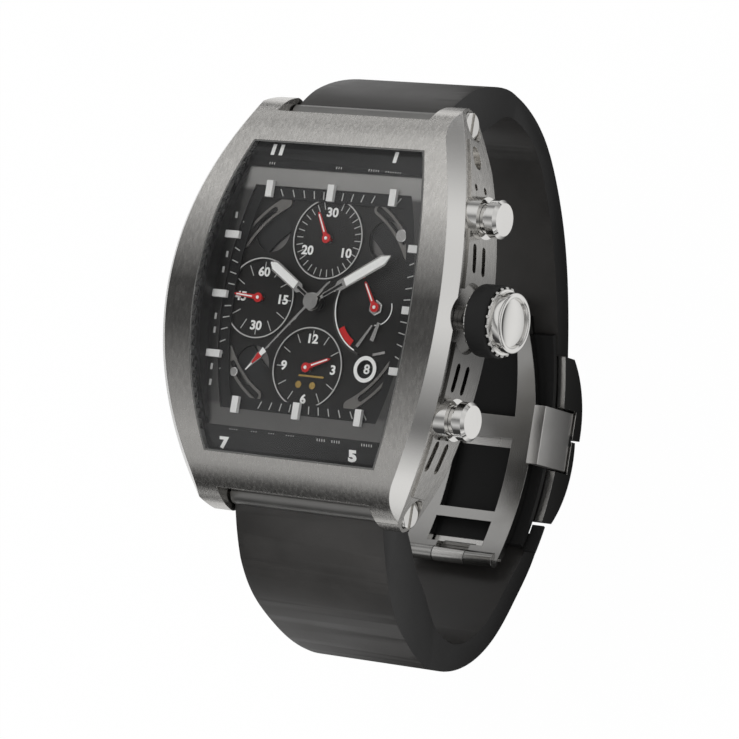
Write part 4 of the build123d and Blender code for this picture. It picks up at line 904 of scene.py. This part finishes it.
def band_place(angle, half_width, half_length):
    """Distance from the dial's middle to a rectangle's edge, along a direction."""
    across = abs(cos(radians(angle)))
    along = abs(sin(radians(angle)))
    return min(half_width / max(across, MICRON), half_length / max(along, MICRON))


def flange_body():
    """The sloping flange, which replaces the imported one."""
    flange = node_copy("rehaut", "flange_body")
    open_mesh(flange)
    bpy.ops.transform.resize(value=FLANGE_SCALE, center_override=metres((0, 0, FLANGE_FOOT)))
    close_mesh()
    outward(flange)
    smooth(flange)
    settle(flange, "flange_body", "case", "flange black")
    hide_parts("rehaut")


def minute_lines(width, thin):
    """Minute lines of the track, without most of the five-minute places, and the short lines beside it."""
    lines = []
    for minute in range(60):
        if minute % 5 == 0 and minute % 15 != 10:
            continue
        angle = 90 - 6 * minute
        middle = band_place(angle, TRACK_HALF_WIDTH, TRACK_HALF_LENGTH)
        if middle > TRACK_CORNER:
            continue
        lines.append(ray_block(CENTRE, angle, middle - HALF_MINUTE_LINE, middle + HALF_MINUTE_LINE, width,
                               TRACK_TOP, TRACK_TOP + thin))
    for x in (-SIDE_LINE_X, SIDE_LINE_X):
        for y in SIDE_LINE_Y:
            place = (x * (1 - abs(y) / SIDE_LINE_TAPER), y, FLANGE_TOP + thin / 2)
            lines.append(block(place, (*SIDE_LINE_SIZE, thin)))
    return lines


class WATCH_OT_flange(Operator):
    """Models the sloping flange, its grey strips, bold numerals and minute lines"""

    bl_idname = "watch.flange"
    bl_label = "Flange"

    def execute(self, context):
        dial = context.scene.watch_dial
        thin = dial.print_height
        flange_body()
        strips = []
        strokes = []
        for end, groups in STROKE_GROUPS.items():
            y = end * STRIP_Y
            strips.append(block((0, y, glass_floor(y) - STRIP_DEPTH), (*STRIP_SIZE, thin),
                                tilt=glass_slope(y)))
            for x, length in groups:
                for step in range(int(length / STROKE_STEP)):
                    place = (x + step * STROKE_STEP, y - end * STROKE_INSET, glass_floor(y) - STROKE_DEPTH)
                    strokes.append(block(place, (*STROKE_SIZE, thin), tilt=glass_slope(y)))
        settle(strips, "flange_strips", "case", "flange grey")
        marks = []
        for text, x, y in HOUR_NUMERALS:
            marks.append(numeral(text, (x, y, glass_floor(y) - HOUR_NUMERAL_DEPTH), dial.hour_numeral, thin,
                                 glass_slope(y), HOUR_NUMERAL_WEIGHT, HOUR_NUMERAL_WIDE))
        settle_print(marks, "flange_marks", "white")
        settle_print(strokes, "flange_strokes", "print")
        settle_print(minute_lines(dial.tick_width, thin), "minute_lines", "print")
        return {"FINISHED"}


# Each counter: name, centre, a gap in its ring as direction and width in degrees, its lines as a count
# with their near and far end, and its numerals with direction and distance
COUNTERS = (
    ("minute_counter_print", (0, COUNTER_Y), (90, 26), (30, 3.5, 4.35),
     (("30", 90, 3.0), ("10", 330, 3.0), ("20", 210, 3.0))),
    ("hour_counter_print", (0, -COUNTER_Y), (0, 0), (12, 3.2, 4.3),
     (("12", 90, 3.3), ("3", 0, 3.4), ("6", 270, 3.6), ("9", 180, 3.3))),
    ("seconds_print", (SECONDS_X, 0), (180, 44), (12, 2.9, 4.2),
     (("60", 90, 3.0), ("15", 0, 3.1), ("30", 270, 3.2), ("45", 180, 2.7))),
)
COUNTER_LINE = 0.1
COUNTER_NUMERAL_RISE = 0.1
COUNTER_NUMERAL_WEIGHT, COUNTER_NUMERAL_WIDE = 0.03, 1.1

# Rings about a centre: inner and outer radius, foot, start and sweep in degrees
RESERVE_RINGS = ((RESERVE, 5.3, 5.45, RING_TOP, 152, 96), (RESERVE, 1.9, 2.02, DIAL_TOP, 270, 110),
                 (WINDOW, 1.05, 1.5, RING_TOP, 0, 360))
RESERVE_SECTOR = (RESERVE, 4.5, 5.25, RING_TOP, 212, 28)
DATE_HEIGHT, DATE_DEPTH, DATE_WEIGHT, DATE_WIDE = 1.5, 0.1, 0.02, 1.1

# Levers: place, size, direction and taper; studs: centre, radius, top and sides
LEVERS = (((7.0, -3.2, 8.8), (3.0, 0.42, 0.25), 58, 0.5), ((8.3, -2.6, 8.75), (2.2, 0.55, 0.25), 75, 0.6),
          ((9.2, -5.0, 8.7), (1.6, 0.3, 0.2), 15, 1.0))
DIAL_STUDS = (((9.8, 8.4), 0.75, 8.95, 28), ((-9.9, -8.7), 0.55, 8.9, 28), (RESERVE, 0.95, 8.98, 6))
DIAL_STUD_EDGE = 0.1
GILT_STUDS = ((-0.95, -9.35), (0.95, -9.35))
GILT_STUD_RADIUS, GILT_STUD_TOP, GILT_STUD_SIDES, GILT_STUD_EDGE = 0.42, 8.72, 20, 0.05
GILT_BAR = ((0.6, -8.3, 8.62), (3.4, 0.22, 0.1))


def printed_ring(centre, inner, outer, foot, start, sweep, thin):
    return ring(centre, inner, outer, foot, foot + thin, start, sweep)


def counter(name, centre, gap, ticks, numerals, dial):
    """White ring, lines and numerals of one counter."""
    thin = dial.print_height
    start, width = gap
    lines = [printed_ring(centre, dial.counter_radius - dial.ring_width, dial.counter_radius, RING_TOP,
                          start + width / 2, 360 - width, thin)]
    count, near, far = ticks
    for index in range(count):
        angle = 360 * index / count
        turned = abs((angle - start + 180) % 360 - 180)
        if turned > width / 2:
            lines.append(ray_block(centre, angle, near, far, COUNTER_LINE, DIAL_TOP, DIAL_TOP + thin))
    settle_print(lines, name + "_lines", "print")
    pieces = []
    for text, angle, reach in numerals:
        place = (*away_from(centre, angle, reach), DIAL_TOP + COUNTER_NUMERAL_RISE)
        pieces.append(numeral(text, place, dial.numeral, thin, 0.0, COUNTER_NUMERAL_WEIGHT,
                              COUNTER_NUMERAL_WIDE))
    settle_print(pieces, name, "white")


class WATCH_OT_counters(Operator):
    """Models the print of the counters, reserve scale and date window, the levers and the gilt studs"""

    bl_idname = "watch.counters"
    bl_label = "Counters"

    def execute(self, context):
        dial = context.scene.watch_dial
        thin = dial.print_height
        for values in COUNTERS:
            counter(*values, dial)
        scale = [printed_ring(*values, thin) for values in RESERVE_RINGS]
        scale.append(numeral("8", (*WINDOW, DIAL_TOP - DATE_DEPTH), DATE_HEIGHT, thin, 0.0, DATE_WEIGHT,
                             DATE_WIDE))
        settle_print(scale, "reserve_print", "white")
        settle(printed_ring(*RESERVE_SECTOR, thin), "reserve_sector", "case", "red")
        levers = [block(*values) for values in LEVERS]
        for centre, radius, top, sides in DIAL_STUDS:
            levers.append(disc(centre, radius, DIAL_TOP, top, sides, DIAL_STUD_EDGE))
        settle(levers, "dial_levers", "case", "polished")
        gilt = [disc(centre, GILT_STUD_RADIUS, DIAL_TOP, GILT_STUD_TOP, GILT_STUD_SIDES, GILT_STUD_EDGE)
                for centre in GILT_STUDS]
        gilt.append(block(*GILT_BAR))
        settle(gilt, "gilt_settings", "case", "gilt")
        return {"FINISHED"}


# Hands

# Fillings of the two long hands: body, direction, the hand's length and its upper face
LONG_HANDS = {"minute_lume": ("minute_hand", 32.0, 11.2, 9.91), "hour_lume": ("hour_hand", 148.5, 7.9, 9.56)}
FILL_START, FILL_SHOULDER, FILL_END, FILL_TAPER = 0.42, 0.9, 0.985, 0.15
SLOT_START, SLOT_END, SLOT_WIDTH = 1.5, 0.38, 0.3

CHRONO_ANGLE = 229.0
CHRONO_TOP = 10.26
# White marks of the chronograph hand: near and far end, width and taper
CHRONO_MARKS = ((7.9, 8.9, 0.75, 0.5), (10.0, 11.2, 0.14, 1.0))
CHRONO_TIP = (8.7, 10.1, 0.72, 0.2)
CHRONO_TIP_RISE = 0.02
CAP_RING, CAP_RING_TOP, CAP_RING_STEPS = (0.35, 0.95), 10.42, 40
CAP_STUD, CAP_STUD_TOP, CAP_STUD_SIDES, CAP_STUD_EDGE = 0.3, 10.5, 24, 0.06

# Pins and lines of the four small hands: name, body, centre and direction
SMALL_HANDS = (("minute_counter_pin", "minute_counter", (0, COUNTER_Y), 118.0),
               ("hour_counter_pin", "hour_counter", (0, -COUNTER_Y), 22.0),
               ("reserve_pin", "reserve_indicator", RESERVE, 122.0),
               ("seconds_pin", "small_seconds", (SECONDS_X, 0), 176.0))
SMALL_HAND_TOP = 9.21
PIN_RADIUS, PIN_TOP, PIN_SIDES, PIN_EDGE = 0.2, 9.3, 20, 0.03
SMALL_LINE = (0.8, 3.0, 0.16)


class WATCH_OT_hands(Operator):
    """Models the bright fillings, caps and arrow of the hands"""

    bl_idname = "watch.hands"
    bl_label = "Hands"

    def execute(self, context):
        dial = context.scene.watch_dial
        thin = dial.print_height
        for name, (body, angle, length, top) in LONG_HANDS.items():
            high = top + thin * 2
            fill = [ray_block(CENTRE, angle, length * FILL_START, length * FILL_SHOULDER, dial.lume_width,
                              top, high),
                    ray_block(CENTRE, angle, length * FILL_SHOULDER, length * FILL_END, dial.lume_width,
                              top, high, FILL_TAPER)]
            settle(fill, name, body, "white")
            slot = ray_block(CENTRE, angle, SLOT_START, length * SLOT_END, SLOT_WIDTH, top, top + thin)
            settle(slot, name + "_slot", body, "track")
        arrow = [ray_block(CENTRE, CHRONO_ANGLE, near, far, width, CHRONO_TOP, CHRONO_TOP + thin, taper)
                 for near, far, width, taper in CHRONO_MARKS]
        settle(arrow, "chrono_white", "chrono_hand", "white")
        near, far, width, taper = CHRONO_TIP
        tip = ray_block(CENTRE, CHRONO_ANGLE, near, far, width, CHRONO_TOP,
                        CHRONO_TOP + CHRONO_TIP_RISE + thin, taper)
        settle(tip, "chrono_tip", "chrono_hand", "red")
        cap = [ring(CENTRE, *CAP_RING, CHRONO_TOP, CAP_RING_TOP, steps=CAP_RING_STEPS),
               disc(CENTRE, CAP_STUD, CHRONO_TOP, CAP_STUD_TOP, CAP_STUD_SIDES, CAP_STUD_EDGE)]
        settle(cap, "centre_cap", "chrono_hand", "polished")
        for name, body, centre, angle in SMALL_HANDS:
            pin = [disc(centre, PIN_RADIUS, SMALL_HAND_TOP, PIN_TOP, PIN_SIDES, PIN_EDGE),
                   ray_block(centre, angle, *SMALL_LINE, SMALL_HAND_TOP, SMALL_HAND_TOP + thin)]
            settle(pin, name, body, "white")
        return {"FINISHED"}


# Crown

CROWN_Z = 7.6
# Rings: inner and outer radius and both ends along x, then the radius of their edges
GRIP = ((3.02, 4.08, 21.02, 23.66), 0.3)
CAP_RIM = ((2.75, 3.4, 23.8, 25.28), 0.22)
# Discs: radius and both ends along x, then the radius of their edges
CAP_DISCS = (((3.7, 23.72, 24.1), 0.1), ((3.0, 20.45, 24.98), 0.2), ((3.2, 20.42, 20.95), 0.1))
CAP_SIDES = 64
# Place along x, radius and rise
CAP_DOME = (24.9, 2.7, 0.34)
# Rings of studs: place along x and radius
STUD_RINGS = ((20.95, 3.6), (23.86, 3.72))


def crown_stud(x, radius, size):
    bpy.ops.mesh.primitive_uv_sphere_add(segments=10, ring_count=6, radius=size * MM)
    piece = bpy.context.object
    piece.location = metres((x, 0, CROWN_Z + radius))
    return piece


def crown_dome(x, radius, rise):
    """A flattened ball that domes the crown's end."""
    bpy.ops.mesh.primitive_uv_sphere_add(segments=64, ring_count=32, radius=1)
    piece = bpy.context.object
    placed(piece, Matrix.Translation(metres((x, 0, CROWN_Z)))
           @ Matrix.Diagonal((*metres((rise, radius, radius)), 1)))
    smooth(piece)
    return piece


def round_edges(piece, width):
    bevelled(piece, width)
    smooth(piece)
    return piece


def on_crown(piece, edge):
    """Rounds a piece that was made about +Z and lays it about the crown's axis."""
    round_edges(piece, edge)
    return placed(piece, Matrix.Translation(metres((0, 0, CROWN_Z))) @ Matrix.Rotation(pi / 2, 4, "Y"))


class WATCH_OT_crown(Operator):
    """Models the crown: rubber ring, domed cap with its rim, rings of studs"""

    bl_idname = "watch.crown"
    bl_label = "Crown"

    def execute(self, context):
        crown = context.scene.watch_crown
        shape, edge = GRIP
        grip = on_crown(ring(CENTRE, *shape), edge)
        settle(grip, "crown_rubber", "crown", "grip")
        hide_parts("crown_grip")
        rings = []
        for x, radius in STUD_RINGS:
            stud = crown_stud(x, radius, crown.stud_radius)
            rings.append(spread_about(stud, crown.stud_count, (0, 0, CROWN_Z), (1, 0, 0)))
        studs = joined(rings)
        smooth(studs, 60)
        settle(studs, "crown_studs", "crown", "polished")
        shape, edge = CAP_RIM
        cap = [on_crown(ring(CENTRE, *shape), edge)]
        cap += [on_crown(disc(CENTRE, *shape, CAP_SIDES), edge) for shape, edge in CAP_DISCS]
        cap = joined(cap + [crown_dome(*CAP_DOME)])
        settle(cap, "crown_cap", "crown", "polished")
        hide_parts("crown")
        return {"FINISHED"}


# Clasp

# The clasp's axis in y and z, about which its sheets lie
CLASP_HUB = (-9.5, -1.9)
CLASP_STEPS = 40
LINING_INNER = 30.66
LINING_OUTER = 30.78
LINING_HALF_WIDTH = 5.1
PAD_NEAR, PAD_FAR = 5.5, 8.3
# Linings: body, start and sweep in degrees
LININGS = {"lining_12": ("strap_12", 2.3, 22.4), "lining_6": ("cover_6", -24.2, 22.4)}
# Lips: body, inner and outer radius, near and far x, start and sweep in degrees
LIPS = {"lip_12": ("strap_12", 34.16, 34.36, 6.4, 9.3, 0.6, 2.2),
        "lip_6": ("strap_6", 31.22, 31.57, 8.5, 10.1, -25.0, 6.5)}


def arc_sheet(inner, outer, near, far, start, sweep):
    """Part of a ring about the clasp's axis, from a near to a far x; angles count from straight down."""
    piece = ring(CENTRE, inner, outer, near, far, start, sweep, CLASP_STEPS)
    return placed(piece, Matrix.Translation(metres((0, *CLASP_HUB))) @ Matrix.Rotation(pi / 2, 4, "Y"))


class WATCH_OT_linings(Operator):
    """Models the dark linings and lips of the clasp's covers and its two soft-edged buttons"""

    bl_idname = "watch.linings"
    bl_label = "Clasp linings"

    def execute(self, context):
        crown = context.scene.watch_crown
        for name, (body, start, sweep) in LININGS.items():
            pads = [arc_sheet(LINING_INNER, LINING_OUTER, -LINING_HALF_WIDTH, LINING_HALF_WIDTH, start,
                              sweep)]
            for near, far in ((-PAD_FAR, -PAD_NEAR), (PAD_NEAR, PAD_FAR)):
                pads.append(arc_sheet(LINING_INNER, LINING_INNER + crown.lining, near, far, start, sweep))
            settle(pads, name, body, "grip")
        for name, (body, inner, outer, near, far, start, sweep) in LIPS.items():
            lips = [arc_sheet(inner, outer, near, far, start, sweep),
                    arc_sheet(inner, outer, -far, -near, start, sweep)]
            settle(lips, name, body, "grip")
        for node in ("button_right", "button_left"):
            button = round_edges(node_copy(node, node + "_soft"), crown.button_round)
            settle(button, node + "_soft", node, "clasp")
            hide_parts(node)
        return {"FINISHED"}


# Stage

WHITE = (1, 1, 1, 1)
# Softboxes: place, width and height in metres, and the setting that holds their power
SOFTBOXES = {"key": ((-0.12, 0.22, 0.55), 0.45, 0.3, "key_power"),
             "right": ((0.55, -0.12, 0.22), 0.25, 0.5, "side_power"),
             "left": ((-0.5, -0.25, 0.3), 0.2, 0.5, "side_power")}
# What metal mirrors across the room: places from 0 to 1 and brightness
ROOM_LEVELS = ((0.0, 0.7), (0.05, 0.45), (0.11, 0.04), (0.28, 0.06), (0.42, 0.75), (0.49, 0.42), (0.54, 0.2),
               (0.575, 0.85), (0.66, 0.95), (0.78, 0.12), (0.88, 0.42), (0.96, 0.85), (1.0, 0.75))
SENSOR_WIDTH = 36.0
CLIP_START = 0.01
FLOOR_SIZE = 6
FLOOR_DROP = 0.4
# A wave texture multiplies its lengths by this
WAVE_FACTOR = 20


def look_matrix(stage):
    """The camera's turn: about z, then x, then y."""
    turn_x, turn_y, turn_z = stage.camera_tilt
    turn = Matrix.Rotation(turn_y, 3, "Y") @ Matrix.Rotation(turn_x, 3, "X") @ Matrix.Rotation(turn_z, 3, "Z")
    return turn.to_4x4()


def softbox(name, place, width, height, power):
    """A rectangular lamp that shines on the watch and is hidden from mirrors and glass."""
    bpy.ops.object.light_add(type="AREA", location=place)
    lamp = bpy.context.object
    lamp.name = name
    lamp.data.shape = "RECTANGLE"
    lamp.data.size = width
    lamp.data.size_y = height
    lamp.data.energy = power
    lamp.visible_glossy = False
    lamp.visible_transmission = False
    lamp.rotation_euler = (-Vector(place)).to_track_quat("-Z", "Y").to_euler()


def room(stage):
    """White for the eye, banded for mirrors and glass, and dim for matt surfaces."""
    world = bpy.data.worlds.new("room")
    world.use_nodes = True
    tree = world.node_tree
    path = add_node(tree, "ShaderNodeLightPath").outputs
    where = add_node(tree, "ShaderNodeTexCoord").outputs["Generated"]
    across = Vector(stage.band_direction).normalized()
    aim = add_node(tree, "ShaderNodeVectorMath", {0: where, 1: across}, operation="DOT_PRODUCT")
    share = add_node(tree, "ShaderNodeMapRange", {"Value": aim.outputs["Value"], "From Min": -1.0})
    bands = level_ramp(tree, ROOM_LEVELS, share.outputs["Result"])
    mirrored = add_node(tree, "ShaderNodeMath", {0: path["Is Glossy Ray"], 1: path["Is Transmission Ray"]},
                        operation="MAXIMUM")
    lit = blend(tree, mirrored.outputs["Value"], (stage.ambient, stage.ambient, stage.ambient, 1), bands)
    seen = blend(tree, path["Is Camera Ray"], lit, WHITE)
    tree.links.new(seen, tree.nodes["Background"].inputs["Color"])
    return world


def floor_material(stage):
    """White with the watch's shadow for the eye, banded in mirrors, and plain and pale for other light."""
    ground = Finish("floor")
    ground.vary(stage.floor_color, tone(stage.floor_color, 0.98), 0.85, 0.95, 2.0)
    glow = ground.add("ShaderNodeEmission", {"Color": WHITE})
    waves = ground.add("ShaderNodeTexWave",
                       {"Scale": tau / (WAVE_FACTOR * stage.floor_band), "Vector": ground.place},
                       wave_type="BANDS", bands_direction="X")
    shade = ground.add("ShaderNodeEmission",
                       {"Color": waves.outputs["Color"], "Strength": stage.floor_mirror})
    path = ground.add("ShaderNodeLightPath").outputs
    share = ground.math("MULTIPLY", path["Is Camera Ray"], stage.floor_glow)
    bright = blend_shaders(ground.tree, share, ground.shader.outputs["BSDF"], glow.outputs["Emission"])
    mirrored = blend_shaders(ground.tree, path["Is Glossy Ray"], bright, shade.outputs["Emission"])
    ground.link(mirrored, ground.output.inputs["Surface"])
    return ground.material


class WATCH_OT_stage(Operator):
    """Sets the camera, the lights, the room and the floor"""

    bl_idname = "watch.stage"
    bl_label = "Stage"

    def execute(self, context):
        stage = context.scene.watch_stage
        deselect()
        bpy.ops.object.camera_add()
        camera = bpy.context.object
        camera.name = "photo_camera"
        camera.matrix_world = Matrix.Translation(stage.camera_place) @ look_matrix(stage)
        camera.data.lens = stage.lens
        camera.data.sensor_width = SENSOR_WIDTH
        camera.data.clip_start = CLIP_START
        context.scene.camera = camera
        context.scene.view_settings.view_transform = "Standard"
        context.scene.world = room(stage)
        for name, (place, width, height, power) in SOFTBOXES.items():
            softbox(name, place, width, height, getattr(stage, power))
        bpy.ops.mesh.primitive_plane_add(size=FLOOR_SIZE, location=(0, 0, CAD_LOW.z - FLOOR_DROP * MM))
        floor = bpy.context.object
        floor.name = "floor"
        floor.data.materials.append(floor_material(stage))
        return {"FINISHED"}


class WATCH_PT_looks(Panel):
    """Lists the steps that dress the watch and the sizes and colours they use"""

    bl_idname = "WATCH_PT_looks"
    bl_label = "Tonneau Watch"
    bl_space_type = "VIEW_3D"
    bl_region_type = "UI"
    bl_category = "Watch"

    def draw(self, context):
        for step in STEPS:
            self.layout.operator(step.bl_idname)
        for group in GROUPS:
            settings = getattr(context.scene, group)
            for name in settings.__annotations__:
                self.layout.prop(settings, name)


STEPS = (WATCH_OT_stage, WATCH_OT_finishes, WATCH_OT_straps, WATCH_OT_flange, WATCH_OT_counters,
         WATCH_OT_hands, WATCH_OT_crown, WATCH_OT_linings)
GROUPS = {"watch_stage": WatchStageSettings, "watch_metal": WatchMetalSettings,
          "watch_rubber": WatchRubberSettings, "watch_dial": WatchDialSettings,
          "watch_crown": WatchCrownSettings}
CLASSES = (*GROUPS.values(), *STEPS, WATCH_PT_looks)


def register():
    for item in CLASSES:
        bpy.utils.register_class(item)
    for name, group in GROUPS.items():
        setattr(bpy.types.Scene, name, PointerProperty(type=group))


def unregister():
    for name in GROUPS:
        delattr(bpy.types.Scene, name)
    for item in reversed(CLASSES):
        bpy.utils.unregister_class(item)


def main():
    register()
    for step in STEPS:
        space, name = step.bl_idname.split(".")
        getattr(getattr(bpy.ops, space), name)()


if __name__ == "__main__":
    main()
